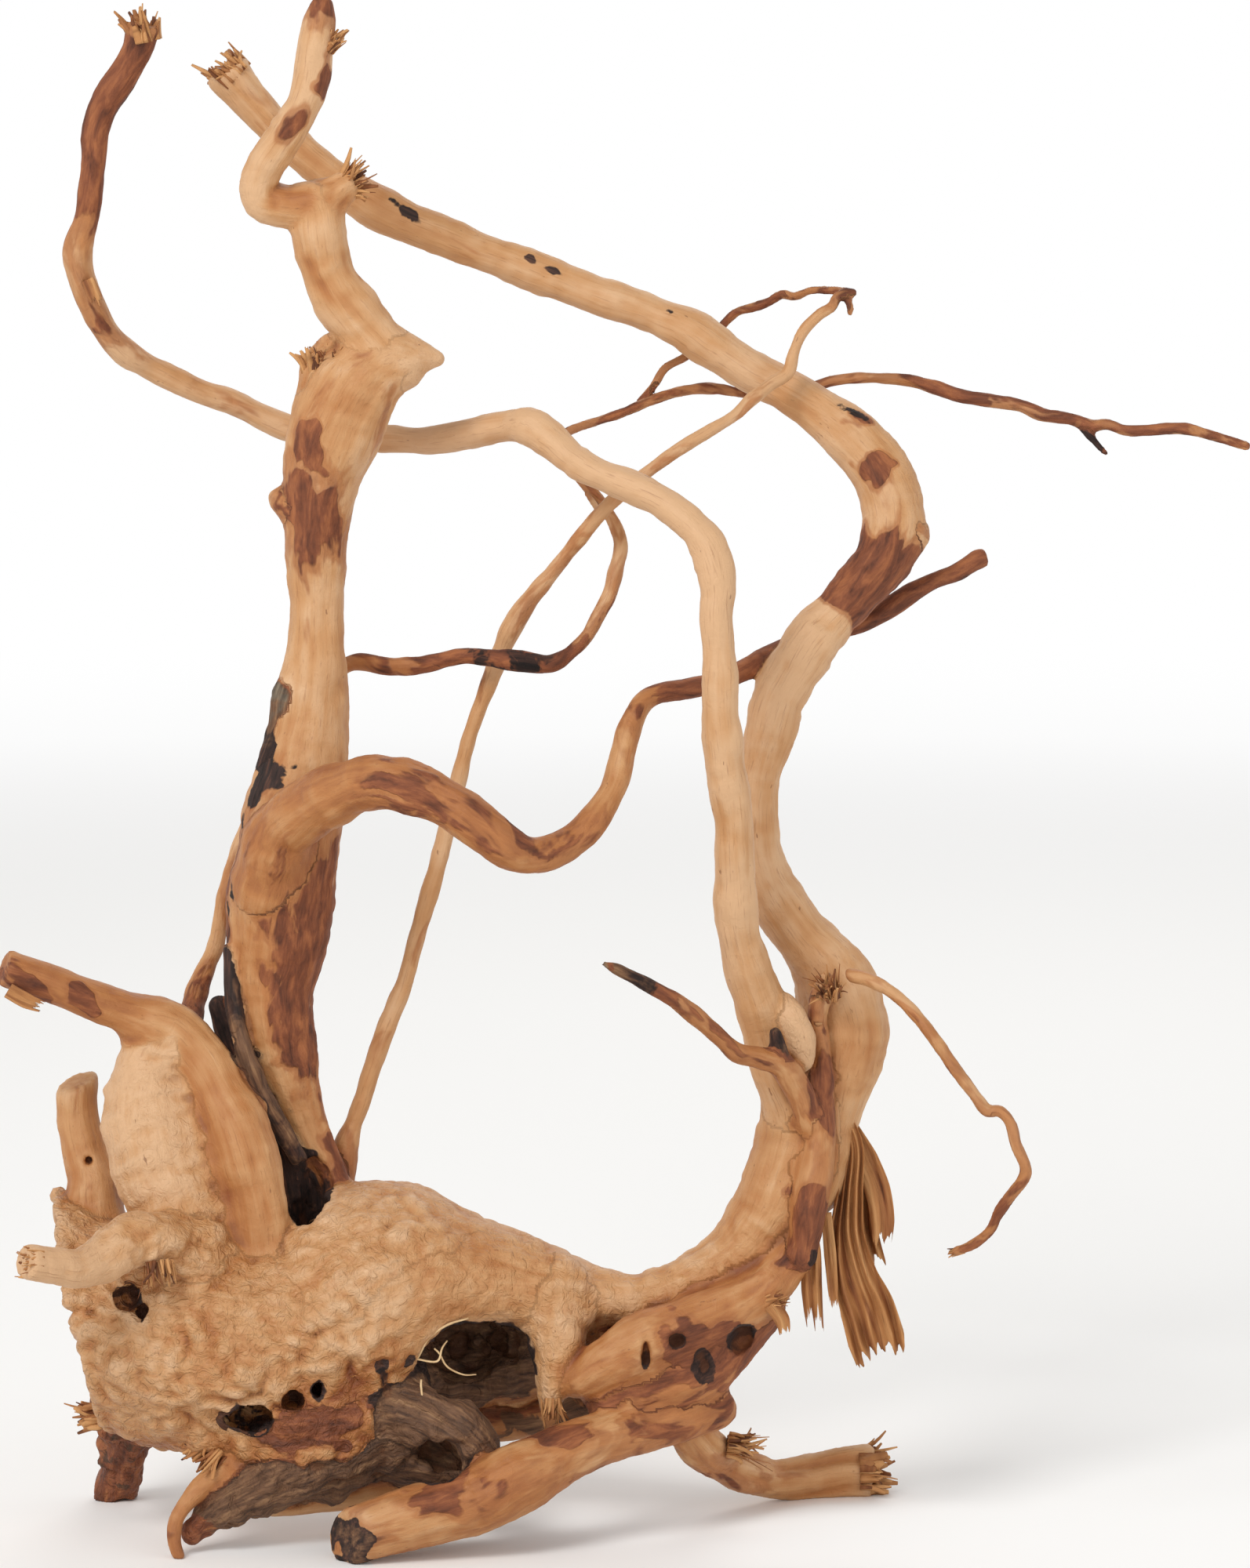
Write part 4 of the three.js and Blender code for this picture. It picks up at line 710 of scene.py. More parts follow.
def looks(points, faces, strings):
    """What every point of the skin carries: its place along and across its limb, the limb's radius, and
    its finish, with stains and painted shade in the hollows added and all of it smoothed a little over the
    skin."""
    whole = {name: np.concatenate([string[name] for string in strings])
             for name in ("centre", "radius", "length", "heading", "wide", "deep")}
    stray = np.stack([cloud(turned(points), STRAY_SPACING, seed) for seed in STRAY_SEEDS], axis=1)
    bead = nearest_bead(points + FINISH_RAGGED * stray, whole["centre"], whole["radius"])
    off = points - whole["centre"][bead]
    offset = np.concatenate([np.full(len(string["length"]), LIMB_APART * number)
                             for number, string in enumerate(strings)])
    grain = np.stack([
        (off * whole["heading"][bead]).sum(1) + whole["length"][bead] + offset[bead],
        (off * whole["wide"][bead]).sum(1),
        (off * whole["deep"][bead]).sum(1)], axis=1)
    finish = {name: np.concatenate([string["finish"][name] for string in strings])[bead]
              for name in FINISHES}
    for line, half, name, amount in STAINS:
        knots, _ = placed(line)
        shares = np.linspace(0, len(knots) - 1, STAIN_STEPS)
        spots = np.stack([np.interp(shares, np.arange(len(knots)), knots[:, axis]) for axis in range(3)],
                         axis=1)
        margin = STAIN_MARGIN * half
        near = (points > spots.min(0) - margin) & (points < spots.max(0) + margin)
        close = np.flatnonzero(np.all(near, axis=1))
        ragged = 1 + STAIN_RAGGED * (stray[close, 0] + layered(turned(points[close]), STAIN_EDGE))
        away = ragged * np.linalg.norm(points[close][:, None] - spots, axis=2).min(1) / half
        finish[name][close] += amount * np.clip(STAIN_FADE - away, 0, 1)
    # Painted shade: the wood is painted darker in and round each hollow, through the dark finish
    for centre, half in HOLLOWS:
        middle, _ = placed([centre])
        away = np.linalg.norm((points - middle) / (np.array(half) * HOLLOW_SHADE_REACH)[[0, 2, 1]], axis=1)
        finish["dark"] = finish["dark"] + HOLLOW_SHADE_STRENGTH * np.clip(HOLLOW_SHADE_FADE * (1.0 - away), 0, 1)
    stacked = np.stack([finish[name] for name in FINISHES], axis=1)
    for _ in range(FINISH_ROUNDS):
        stacked = (stacked + FINISH_EASE * mean_of_neighbours(stacked, faces)) / (1 + FINISH_EASE)
    return grain, whole["radius"][bead], dict(zip(FINISHES, np.clip(stacked, 0, 1).T))


def relief(points, grain, radius, finish):
    """How far the surface stands out at each point: crumpled lumps on the burl, slow swells and long ribs
    on the limbs, folds across the wrinkled parts, small roughness where bark is left, deep grooves where
    the wood is torn and ragged shelves where it is black and lumpy. A lump is the size of a noise without
    its sign, so that sharp creases lie between round tops."""
    points = turned(points)
    bent = points + BEND * np.stack([cloud(points, BEND_SPACING, seed) for seed in BEND_SEEDS], axis=1)
    lumps = sum(strength * (np.abs(cloud(bent, spacing, seed)) - LUMP_USUAL)
                for strength, spacing, seed in BURL_LUMPS)
    uneven = np.clip(UNEVEN_USUAL + layered(points, BURL_UNEVEN), *UNEVEN_LIMITS)
    burl = layered(bent, BURL_WAVES) + uneven * lumps
    swell = layered(points, SWELLS)
    ribs = layered(grain, RIBS)
    rough = layered(points, BARK_GRIT) + layered(grain, BARK_FLAKES)
    groove = layered(grain, TORN_GROOVES) - np.abs(layered(grain, TORN_SPLITS))
    ragged = layered(bent, RAGGED_SHELVES) + layered(points, RAGGED_CRUMBS)
    folds = layered(grain + FOLD_BEND * (bent - points), FOLDS)
    slim = np.clip(radius / SLIM_RADIUS, SLIM_LEAST, 1)
    plain = 1 - finish["burl"]
    return (finish["burl"] * burl + slim * plain * (swell + plain * ribs)
            + slim * finish["bark"] * rough + slim * finish["torn"] * groove
            + slim * finish["dark"] * finish["burl"] * ragged + slim * finish["wrinkled"] * folds)


def new_piece(name, points, faces, material, values=None):
    """A mesh object from points in millimetres and arrays of faces, smooth shaded, with its values kept as
    attributes of the points."""
    mesh = bpy.data.meshes.new(name)
    mesh.vertices.add(len(points))
    mesh.vertices.foreach_set("co", (np.asarray(points) * METRES).astype(np.float32).ravel())
    sizes = np.concatenate([np.full(len(block), block.shape[1]) for block in faces])
    mesh.loops.add(int(sizes.sum()))
    mesh.loops.foreach_set("vertex_index",
                           np.concatenate([block.ravel() for block in faces]).astype(np.int32))
    mesh.polygons.add(len(sizes))
    mesh.polygons.foreach_set("loop_start", (np.cumsum(sizes) - sizes).astype(np.int32))
    mesh.polygons.foreach_set("use_smooth", np.ones(len(sizes), bool))
    mesh.update(calc_edges=True)
    mesh.validate()
    for label, value in (values or {}).items():
        kind, key = ("FLOAT_VECTOR", "vector") if value.ndim == 2 else ("FLOAT", "value")
        layer = mesh.attributes.new(label, kind, "POINT")
        layer.data.foreach_set(key, value.astype(np.float32).ravel())
    mesh.materials.append(material)
    piece = bpy.data.objects.new(name, mesh)
    bpy.context.scene.collection.objects.link(piece)
    return piece


def wear(piece):
    """Makes a piece part of the driftwood: it rides on the one body and stands for the solid."""
    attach(piece, "root")
    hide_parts("driftwood")


def wood_field():
    """The field of distances of the whole root, with every limb grown in and every hollow eaten out."""
    field = np.full(SKIN_SIZE, FAR, np.float32)
    strings = []
    for limb in STUMP_LIMBS:
        strings.append(beads(limb, len(strings)))
        grow(field, limb, strings[-1])
    saw(field)
    for limb in GROWN_LIMBS:
        strings.append(beads(limb, len(strings)))
        grow(field, limb, strings[-1])
    for centre, half in HOLLOWS:
        middle, _ = placed([centre])
        across, up, deep = half
        eat(field, middle[0], [across, deep, up])
    return field, strings


def skinned_stages(material):
    """The wood's skin in stages of height. A stage ends a little past its limits, where it sinks slowly
    under the next one, so each is a closed body and no gap shows."""
    field, strings = wood_field()
    heights = GRID_LOW[2] + CELL * np.arange(SKIN_SIZE[2])
    for number, (bottom, top) in enumerate(zip(STAGES[:-1], STAGES[1:])):
        margin = STAGE_LAP + STAGE_EDGE * CELL
        kept = np.flatnonzero((heights > bottom - margin) & (heights < top + margin))
        tall = heights[kept]
        past = np.maximum(np.maximum(bottom - tall, tall - top), 0)
        part = field[:, :, kept] + (STAGE_SINK * past).astype(np.float32)
        part = np.maximum(part, (past - STAGE_LAP).astype(np.float32))
        part = np.maximum(part, (-tall).astype(np.float32))
        points, faces = skin(part, GRID_LOW + [0, 0, CELL * kept[0]])
        grain, radius, finish = looks(points, faces, strings)
        out = normals_of(points, faces)
        points = points + out * relief(points, grain, radius, finish)[:, None]
        points[:, 2] = np.maximum(points[:, 2], 0)
        settled = points
        # How far the skin lies below its smoothed self, carried as cavity: the wood's material paints shade
        # in the creases from it
        for _ in range(CAVITY_ROUNDS):
            settled = mean_of_neighbours(settled, faces)
        cavity = ((settled - points) * normals_of(points, faces)).sum(1)
        for _ in range(CAVITY_EASING):
            cavity = mean_of_neighbours(cavity, faces)
        values = dict(finish, grain=grain, cavity=np.clip(CAVITY_LEVEL + cavity, 0, 1))
        wear(new_piece(f"root_wood_{number + 1}", points, [faces], material, values))


# Colours as seen on a screen, in bands of place and colour, and single ones.
BARE_WOOD = [
    (0.0, (203, 162, 122)), (0.3, (190, 141, 94)), (0.62, (171, 113, 64)), (1.0, (134, 74, 40)),
]
THIN_BARK = [(0.3, (138, 80, 42)), (0.7, (176, 114, 64))]
THICK_BARK = [(0.28, (72, 37, 23)), (0.5, (122, 68, 41)), (0.72, (160, 98, 58))]
# Near black of charred wood, also used to paint the shade in the hollows
CHARRED_WOOD_AND_HOLLOW_SHADE = [(0.3, (26, 19, 17)), (0.55, (56, 38, 32)), (0.75, (96, 62, 46))]
EARTHY_WOOD = [(0.3, (66, 45, 33)), (0.55, (112, 80, 57)), (0.8, (152, 116, 82))]
ASHEN_WOOD = [(0.3, (58, 49, 41)), (0.55, (106, 93, 78)), (0.8, (140, 125, 104))]
TORN_WOOD = [(0.0, (200, 150, 98)), (0.5, (174, 120, 72)), (0.85, (132, 80, 46)), (1.0, (92, 54, 33))]
ROOTLET_SKIN = [(0.3, (196, 160, 112)), (0.7, (226, 196, 150))]
GRAIN_LINE = (130, 78, 43)
BURL_FIGURE = (166, 104, 58)
# Brown of the small specks, and of the painted shade in the creases
SPECK_AND_CREASE_SHADE = (104, 60, 34)
TORN_LINE = (96, 56, 32)
PALE_FLOOR = (247, 246, 244)
BLACK = (0, 0, 0)
WHITE = (255, 255, 255)

# How noise is scaled along and across the grain.
SPECK_GRAIN = (0.2, 0.5, 0.5)
FLAKE_GRAIN = (0.03, 0.075, 0.075)
BARK_GRAIN = (0.06, 0.25, 0.25)
FADED_GRAIN = (0.05, 0.5, 0.5)
STREAK_GRAIN = (0.022, 0.3, 0.3)
THIN_GRAIN = (0.06, 1.3, 1.3)
HAIR_GRAIN = (0.16, 3.2, 3.2)

# Noise: its scale, detail, roughness and, where it has any, distortion.
BROAD_NOISE = (28.0, 2, 0.6)
SMALL_NOISE = (150.0, 3, 0.6, 0.8)
ROT_NOISE = (95.0, 3, 0.65, 0.8)
CRUMPLE_NOISE = (220.0, 2, 0.6, 1.6)
SPECK_NOISE = (1.0, 2, 0.5)
FLAKE_NOISE = (1.0, 3, 0.62, 0.5)
BARK_NOISE = (1.0, 3, 0.65, 0.4)
FADED_NOISE = (1.0, 2, 0.65)
STREAK_NOISE = (1.0, 2, 0.6, 0.3)
THIN_NOISE = (1.0, 2, 0.65, 0.2)
HAIR_NOISE = (1.0, 1, 0.6)

# The levels between which a mask comes in.
FIGURE_LEVELS = (0.5, 0.72)
SPECK_LEVELS = (0.72, 0.78)
THIN_BARK_LEVELS = (0.36, 0.47)
THICK_BARK_LEVELS = (0.51, 0.58)
BLACK_LEVELS = (0.44, 0.56)
EARTHY_LEVELS = (0.2, 0.42)
ASHEN_LEVELS = (0.68, 0.9)
CREASE_SHADE_LEVELS = (0.72, 1.1)
LINE_LEVELS = (0.56, 0.74)

# How much each effect does to tone, cover, roughness and height.
CRUMPLE_ON_BURL = 1.8
CRUMPLE_ELSEWHERE = 0.3
BROAD_TONE = 1.1
STREAK_TONE = 0.6
CAVITY_SHADE_TONE = 0.6
LINE_SHARE = 0.36
FIGURE_SHARE = 0.4
SPECK_SHARE = 0.6
BARK_REACH = 0.85
THIN_BARK_SHARE = 0.75
DARK_REACH = 1.1
ROT_REACH = 0.8
CREASE_SHADE_SHARE = 0.55
BURL_SHINE = 0.12
BARK_DULL = 0.16
BLACK_DULL = 0.2
MOTTLE_DULL = 0.12
FIBRE_HEIGHT = 0.14
BARK_HEIGHT = 0.34
HAIR_SHARE = 0.6
WOOD_DULL = 0.5
WOOD_SPECULAR = 0.35
WOOD_BUMP_DEPTH = 0.0011
TORN_STREAK_TONE = 0.9
TORN_MOTTLE_TONE = 0.7
TORN_MOTTLE_SCALE = 40.0
TORN_LINE_SHARE = 0.5
TORN_DULL = 0.62
TORN_STREAK_DULL = 0.2
TORN_SPECULAR = 0.3
TORN_BUMP = 0.9
TORN_BUMP_DEPTH = 0.0005
ROOTLET_MOTTLE_SCALE = 300.0
ROOTLET_DULL = 0.45
ROOTLET_MOTTLE_DULL = 0.3


def tint(red, green, blue):
    """A colour as seen on a screen, from 0 to 255, as the light it stands for by the sRGB curve."""
    shares = np.array([red, green, blue]) / 255
    light = np.where(shares <= 0.04045, shares / 12.92, ((shares + 0.055) / 1.055) ** 2.4)
    return (*light.tolist(), 1.0)


def add(tree, kind, settings=None, **inputs):
    """A node with its settings and inputs; an input is a value, or a socket to link from."""
    made = tree.nodes.new(kind)
    for name, value in (settings or {}).items():
        setattr(made, name, value)
    for name, value in inputs.items():
        socket = made.inputs[int(name[1:])] if name[0] == "i" and name[1:].isdigit() else made.inputs[name]
        if isinstance(value, bpy.types.NodeSocket):
            tree.links.new(value, socket)
        else:
            socket.default_value = value
    return made


def sum_of(tree, first, second, operation="ADD"):
    """Arithmetic on two values."""
    return add(tree, "ShaderNodeMath", {"operation": operation}, i0=first, i1=second).outputs[0]


def scaled(tree, value, amount):
    """A value times an amount."""
    return sum_of(tree, value, amount, "MULTIPLY")


def swung(tree, value, amount):
    """How far a value is from its middle, times an amount."""
    return scaled(tree, sum_of(tree, value, 0.5, "SUBTRACT"), amount)


def eased(tree, value, low, high):
    """A value eased from 0 at one level to 1 at another."""
    made = add(tree, "ShaderNodeMapRange", {"interpolation_type": "SMOOTHSTEP"},
               i0=value, i1=low, i2=high)
    return made.outputs["Result"]


def laid_over(tree, share, under, over):
    """One colour over another by a share."""
    made = add(tree, "ShaderNodeMix", {"data_type": "RGBA"}, i0=share, i6=under, i7=over)
    return made.outputs[2]


def mottle(tree, vector, scale, detail=3.0, rough=0.55, warp=0.0):
    """Soft random values over a vector."""
    made = add(tree, "ShaderNodeTexNoise", None, Vector=vector, Scale=scale, Detail=detail,
               Roughness=rough, Distortion=warp)
    return made.outputs[0]


def stretched(tree, vector, scales):
    """A vector with its three parts scaled."""
    made = add(tree, "ShaderNodeVectorMath", {"operation": "MULTIPLY"}, i0=vector, i1=scales)
    return made.outputs[0]


def shades(tree, value, stops):
    """Screen colours at stops between 0 and 1, blended between them."""
    made = add(tree, "ShaderNodeValToRGB", None, Fac=value)
    band = made.color_ramp
    while len(band.elements) < len(stops):
        band.elements.new(0.5)
    for element, (place, colour) in zip(band.elements, stops):
        element.position = place
        element.color = tint(*colour)
    return made.outputs["Color"]


def carried(tree, label, output="Fac"):
    """A value that the points carry."""
    return add(tree, "ShaderNodeAttribute", {"attribute_name": label}).outputs[output]


def fibre_group():
    """Wood fibre as a shared effect: long streaks, thin dark lines and a height, all along the grain."""
    group = bpy.data.node_groups.new("wood_fibre", "ShaderNodeTree")
    group.interface.new_socket("Grain", in_out="INPUT", socket_type="NodeSocketVector")
    for name in ("Streak", "Line", "Height"):
        group.interface.new_socket(name, in_out="OUTPUT", socket_type="NodeSocketFloat")
    grain = group.nodes.new("NodeGroupInput").outputs["Grain"]
    out = group.nodes.new("NodeGroupOutput")
    streak = mottle(group, stretched(group, grain, STREAK_GRAIN), *STREAK_NOISE)
    thin = mottle(group, stretched(group, grain, THIN_GRAIN), *THIN_NOISE)
    hair = mottle(group, stretched(group, grain, HAIR_GRAIN), *HAIR_NOISE)
    line = eased(group, thin, *LINE_LEVELS)
    height = sum_of(group, sum_of(group, streak, thin), scaled(group, hair, HAIR_SHARE))
    group.links.new(streak, out.inputs["Streak"])
    group.links.new(line, out.inputs["Line"])
    group.links.new(height, out.inputs["Height"])
    return group


def fibres_of(tree, group, grain):
    """The fibre effect placed in a material."""
    made = tree.nodes.new("ShaderNodeGroup")
    made.node_tree = group
    tree.links.new(grain, made.inputs["Grain"])
    return made.outputs


def new_material(name):
    """An empty material with its surface shader joined to its output."""
    material = bpy.data.materials.new(name)
    material.use_nodes = True
    tree = material.node_tree
    tree.nodes.clear()
    shader = tree.nodes.new("ShaderNodeBsdfPrincipled")
    out = tree.nodes.new("ShaderNodeOutputMaterial")
    tree.links.new(shader.outputs[0], out.inputs[0])
    return material, tree, shader


def root_wood(fibre):
    """Peeled root wood: cream to orange under the grain, thin and thick bark in torn patches over it, and
    black or grey weathered wood over that, also used as painted shade in the hollows, and painted brown
    shade in the creases."""
    material, tree, shader = new_material("peeled_root_wood")
    grain = carried(tree, "grain", "Vector")
    place = add(tree, "ShaderNodeTexCoord").outputs["Object"]
    bark, dark, grey = (carried(tree, name) for name in ("bark", "dark", "grey"))
    warm, burl, cavity = (carried(tree, name) for name in ("warm", "burl", "cavity"))
    streak, line, height = fibres_of(tree, fibre, grain)

    broad = mottle(tree, place, *BROAD_NOISE)
    small = mottle(tree, place, *SMALL_NOISE)
    tone = sum_of(tree, warm, swung(tree, broad, BROAD_TONE))
    tone = sum_of(tree, tone, swung(tree, streak, STREAK_TONE))
    # Painted shade: the bare wood turns darker in creases and lighter on ridges, by how far the skin lies
    # below its smoothed self
    tone = sum_of(tree, tone, swung(tree, cavity, CAVITY_SHADE_TONE))
    bare = shades(tree, tone, BARE_WOOD)
    clear = sum_of(tree, 1.0, burl, "SUBTRACT")
    bare = laid_over(tree, scaled(tree, scaled(tree, line, clear), LINE_SHARE), bare, tint(*GRAIN_LINE))
    figure = eased(tree, small, *FIGURE_LEVELS)
    bare = laid_over(tree, scaled(tree, scaled(tree, figure, burl), FIGURE_SHARE), bare,
                     tint(*BURL_FIGURE))
    speck = eased(tree, mottle(tree, stretched(tree, grain, SPECK_GRAIN), *SPECK_NOISE), *SPECK_LEVELS)
    # Small dark specks in the bare wood; the same brown paints the shade in the creases below
    bare = laid_over(tree, scaled(tree, speck, SPECK_SHARE), bare, tint(*SPECK_AND_CREASE_SHADE))

    flake = mottle(tree, stretched(tree, grain, FLAKE_GRAIN), *FLAKE_NOISE)
    cover = sum_of(tree, flake, swung(tree, bark, BARK_REACH))
    thin_bark = eased(tree, cover, *THIN_BARK_LEVELS)
    thick_bark = eased(tree, cover, *THICK_BARK_LEVELS)
    bark_tone = mottle(tree, stretched(tree, grain, BARK_GRAIN), *BARK_NOISE)
    thin_colour = shades(tree, bark_tone, THIN_BARK)
    thick_colour = shades(tree, bark_tone, THICK_BARK)
    coloured = laid_over(tree, scaled(tree, thin_bark, THIN_BARK_SHARE), bare, thin_colour)
    coloured = laid_over(tree, thick_bark, coloured, thick_colour)

    rot = mottle(tree, place, *ROT_NOISE)
    # The black mask: black wood, and also the painted shade of the hollows carried in the dark finish
    black = eased(tree, sum_of(tree, rot, swung(tree, dark, DARK_REACH)), *BLACK_LEVELS)
    faded = mottle(tree, stretched(tree, grain, FADED_GRAIN), *FADED_NOISE)
    charred_and_hollow_shade = shades(tree, faded, CHARRED_WOOD_AND_HOLLOW_SHADE)
    earthy = shades(tree, faded, EARTHY_WOOD)
    ashen = shades(tree, faded, ASHEN_WOOD)
    aged = sum_of(tree, grey, swung(tree, rot, ROT_REACH))
    charred_and_hollow_shade = laid_over(tree, eased(tree, aged, *EARTHY_LEVELS), charred_and_hollow_shade, earthy)
    charred_and_hollow_shade = laid_over(tree, eased(tree, aged, *ASHEN_LEVELS), charred_and_hollow_shade, ashen)
    coloured = laid_over(tree, black, coloured, charred_and_hollow_shade)
    # Painted shade: the creases are darkened with brown
    crease_shade = eased(tree, cavity, *CREASE_SHADE_LEVELS)
    coloured = laid_over(tree, scaled(tree, crease_shade, CREASE_SHADE_SHARE), coloured, tint(*SPECK_AND_CREASE_SHADE))
    tree.links.new(coloured, shader.inputs["Base Color"])

    dull = sum_of(tree, WOOD_DULL, scaled(tree, burl, BURL_SHINE), "SUBTRACT")
    dull = sum_of(tree, dull, scaled(tree, thick_bark, BARK_DULL))
    dull = sum_of(tree, dull, scaled(tree, black, BLACK_DULL))
    dull = sum_of(tree, dull, scaled(tree, small, MOTTLE_DULL))
    tree.links.new(dull, shader.inputs["Roughness"])
    shader.inputs["Specular IOR Level"].default_value = WOOD_SPECULAR

    raised = sum_of(tree, scaled(tree, height, FIBRE_HEIGHT), scaled(tree, thick_bark, BARK_HEIGHT))
    crumple = mottle(tree, place, *CRUMPLE_NOISE)
    lumpy = sum_of(tree, scaled(tree, burl, CRUMPLE_ON_BURL), CRUMPLE_ELSEWHERE)
    raised = sum_of(tree, raised, scaled(tree, crumple, lumpy))
    bump = add(tree, "ShaderNodeBump", None, Strength=1.0, Distance=WOOD_BUMP_DEPTH, Height=raised)
    tree.links.new(bump.outputs[0], shader.inputs["Normal"])
    return material


# Torn strips of wood: [across, up, depth, half width], how many pleats, how deep they are and how ragged
# the end is.
TORN_STRIPS = [
    dict(route=[[81, 176, 10, 3.5], [87, 162, 6, 4], [86, 145, 3, 5], [85, 128, 1, 6.5],
                [88, 112, 0, 8.5], [92.5, 100, -1, 10.5], [96, 88, -2, 11], [99, 77, -3, 9.5]],
         pleats=4, fold=2.4, ragged=0.12),
    dict(route=[[84, 170, 12, 2.5], [89, 160, 13, 3.4], [91, 145, 14, 4.5], [92, 128, 13, 5],
                [95, 112, 11, 6]], pleats=3, fold=1.6, ragged=0.1),
    dict(route=[[86, 170, 13, 2.5], [92, 157, 12, 4.6], [96.5, 145, 10, 5], [98.5, 133, 8, 4.6],
                [98, 122, 7, 3.4]], pleats=1, fold=0.9, ragged=0.14),
    dict(route=[[69, 136, -9, 3], [71, 121, -9, 4], [71.5, 106, -8, 4], [73, 88, -8, 3.2]], pleats=2,
         fold=1.2, ragged=0.22),
    dict(route=[[77, 136, -2, 2], [78.5, 120, -3, 2.4], [79.5, 107, -3, 2], [80, 98, -3, 1.2]],
         pleats=1, fold=0.6, ragged=0.2),
    dict(route=[[-205.5, 493, 12, 2.5], [-203, 487, 11, 2.6], [-200.5, 481, 9, 1.6]], pleats=1,
         fold=0.6, ragged=0.4),
    dict(route=[[-236, 221, -27, 3], [-229, 217, -26, 3], [-221, 214, -24, 2]], pleats=1, fold=0.6,
         ragged=0.3),
    dict(route=[[56, 101, -19, 3], [60, 95, -17, 3], [61, 88, -15, 2]], pleats=1, fold=0.8, ragged=0.3),
]
STRIP_RINGS = 48
STRIP_ACROSS = 44
STRIP_THICK = 1.3
STRIP_EDGE_THIN = 0.6
STRIP_LINE = 6
STRIP_APART = 31.0
STRIP_BACK_GRAIN = [0, 0, 2]
STRIP_OPENS = 3
STRIP_CLOSED = 0.3
STRIP_SHADE = 0.5
# Painted shade on the strips: how much darker their grooves and pleat hollows are painted
STRIP_GROOVE_PAINTED_SHADE = 0.35
STRIP_PLEAT_PAINTED_SHADE = 0.12

# Frayed ends: where the tip is, where it points, how wide it is, and its fibres' number, length,
# thickness and flare.
FRAYED_ENDS = [
    dict(tip=[-184.5, 589, -3], heading=[-0.2, 1, -0.1], spread=5.8, count=60, length=8, thick=0.9,
         flare=0.5),
    dict(tip=[-152, 573, 39], heading=[-0.75, 0.65, 0], spread=7.4, count=80, length=7, thick=0.85,
         flare=0.7),
    dict(tip=[-105, 530, -7], heading=[0.85, 0.5, -0.1], spread=5, count=70, length=8, thick=0.6,
         flare=1.1),
    dict(tip=[-111, 585, -26], heading=[0.6, 0.75, -0.1], spread=3.6, count=26, length=6, thick=0.55,
         flare=0.9),
    dict(tip=[94, 37.5, 66], heading=[1, 0.02, 0.05], spread=9.4, count=110, length=8, thick=1.1,
         flare=0.5),
    dict(tip=[78, 222, -6], heading=[-0.2, 0.7, -0.7], spread=4.2, count=46, length=7, thick=0.4,
         flare=1.4),
    dict(tip=[-206, 57, -8], heading=[-1, -0.1, -0.2], spread=6, count=34, length=6, thick=0.8,
         flare=0.8),
    dict(tip=[-116, 463, -3], heading=[-0.1, 1, -0.2], spread=7.5, count=80, length=6, thick=0.6,
         flare=0.5),
    dict(tip=[-122, 462, -3], heading=[-0.2, 1, -0.1], spread=2, count=6, length=9, thick=0.8,
         flare=0.4),
    dict(tip=[-160, 42, -28], heading=[-0.6, -0.6, -0.3], spread=7, count=50, length=8, thick=0.8,
         flare=0.9),
    dict(tip=[-229, 117, -82], heading=[-0.9, 0.2, -0.4], spread=6, count=30, length=3, thick=0.55,
         flare=0.5),
    dict(tip=[-28, 60, -18], heading=[0, -1, -0.2], spread=4, count=40, length=7, thick=0.5, flare=0.8),
    dict(tip=[-178, 112, -50], heading=[0.2, -1, -0.4], spread=6, count=30, length=6, thick=0.45,
         flare=1.0),
    dict(tip=[44, 47, 14], heading=[1, -0.15, 0.1], spread=4.5, count=36, length=12, thick=0.6,
         flare=0.5),
    dict(tip=[58, 104, -16], heading=[0.8, 0.5, -0.4], spread=4.5, count=36, length=5, thick=0.5,
         flare=0.8),
    dict(tip=[125, 120.5, -22], heading=[-0.9, -0.3, 0.1], spread=1.3, count=14, length=2, thick=0.4,
         flare=0.5),
]
FIBRE_RINGS = 6
FIBRE_SIDES = 5
FIBRE_SUNK = 5.0
FIBRE_CURL = 0.5
FIBRE_FULL = 2.2
FIBRE_FLAT = 0.45
FIBRE_SHORT = 0.75
FIBRE_SPREAD = 0.6
FIBRE_CLEAR = 1.6
FIBRE_SEED = 41
FIBRE_ASIDE = [0.31, 0.9, 0.3]
FIBRE_LENGTHS = (0.15, 1)
FIBRE_WIDTHS = (0.35, 1.1)
FIBRE_TAPER = 0.6
FIBRE_GRAIN = (6.0, 9.0)

ROOTLET_EVERY = 4

# Pale rootlets that hang in the hollow: [across, up, depth, radius].
ROOTLETS = [
    [[-81, 79, -24, 0.45], [-79, 81, -27, 0.55], [-75, 88, -29, 0.5], [-68, 93, -28, 0.5],
     [-60, 95.5, -24, 0.35]],
    [[-82, 80, -24, 0.4], [-80, 80, -27, 0.4], [-72, 79, -27, 0.45], [-70, 84, -26, 0.4],
     [-68, 87, -24, 0.3]],
    [[-73, 84, -26, 0.35], [-71, 82, -26, 0.4], [-68, 77, -25, 0.4], [-62, 74, -23, 0.35],
     [-57, 74, -20, 0.25]],
    [[-78, 72, -30, 0.4], [-78, 69, -32, 0.45], [-77, 63, -33, 0.4], [-75, 60.5, -32, 0.3]],
]


def tubes(paths, radii, wide, deep):
    """Tubes along many paths at once. Round each path point lies a ring: wide times the cosine of the turn
    plus deep times its sine, times the radius. Rings are joined by four-sided faces and the ends closed."""
    count, rings, sides = radii.shape[0], radii.shape[1], FIBRE_SIDES
    turn = np.linspace(0, 2 * math.pi, sides, endpoint=False)[:, None]
    ring = wide[:, :, None] * np.cos(turn) + deep[:, :, None] * np.sin(turn)
    points = paths[:, :, None] + radii[:, :, None, None] * ring
    index = np.arange(count * rings * sides).reshape(count, rings, sides)
    onward = np.roll(index, -1, axis=2)
    walls = np.stack([index[:, :-1], onward[:, :-1], onward[:, 1:], index[:, 1:]], axis=3)
    return points.reshape(-1, 3), [walls.reshape(-1, 4), index[:, 0, ::-1].copy(), index[:, -1].copy()]


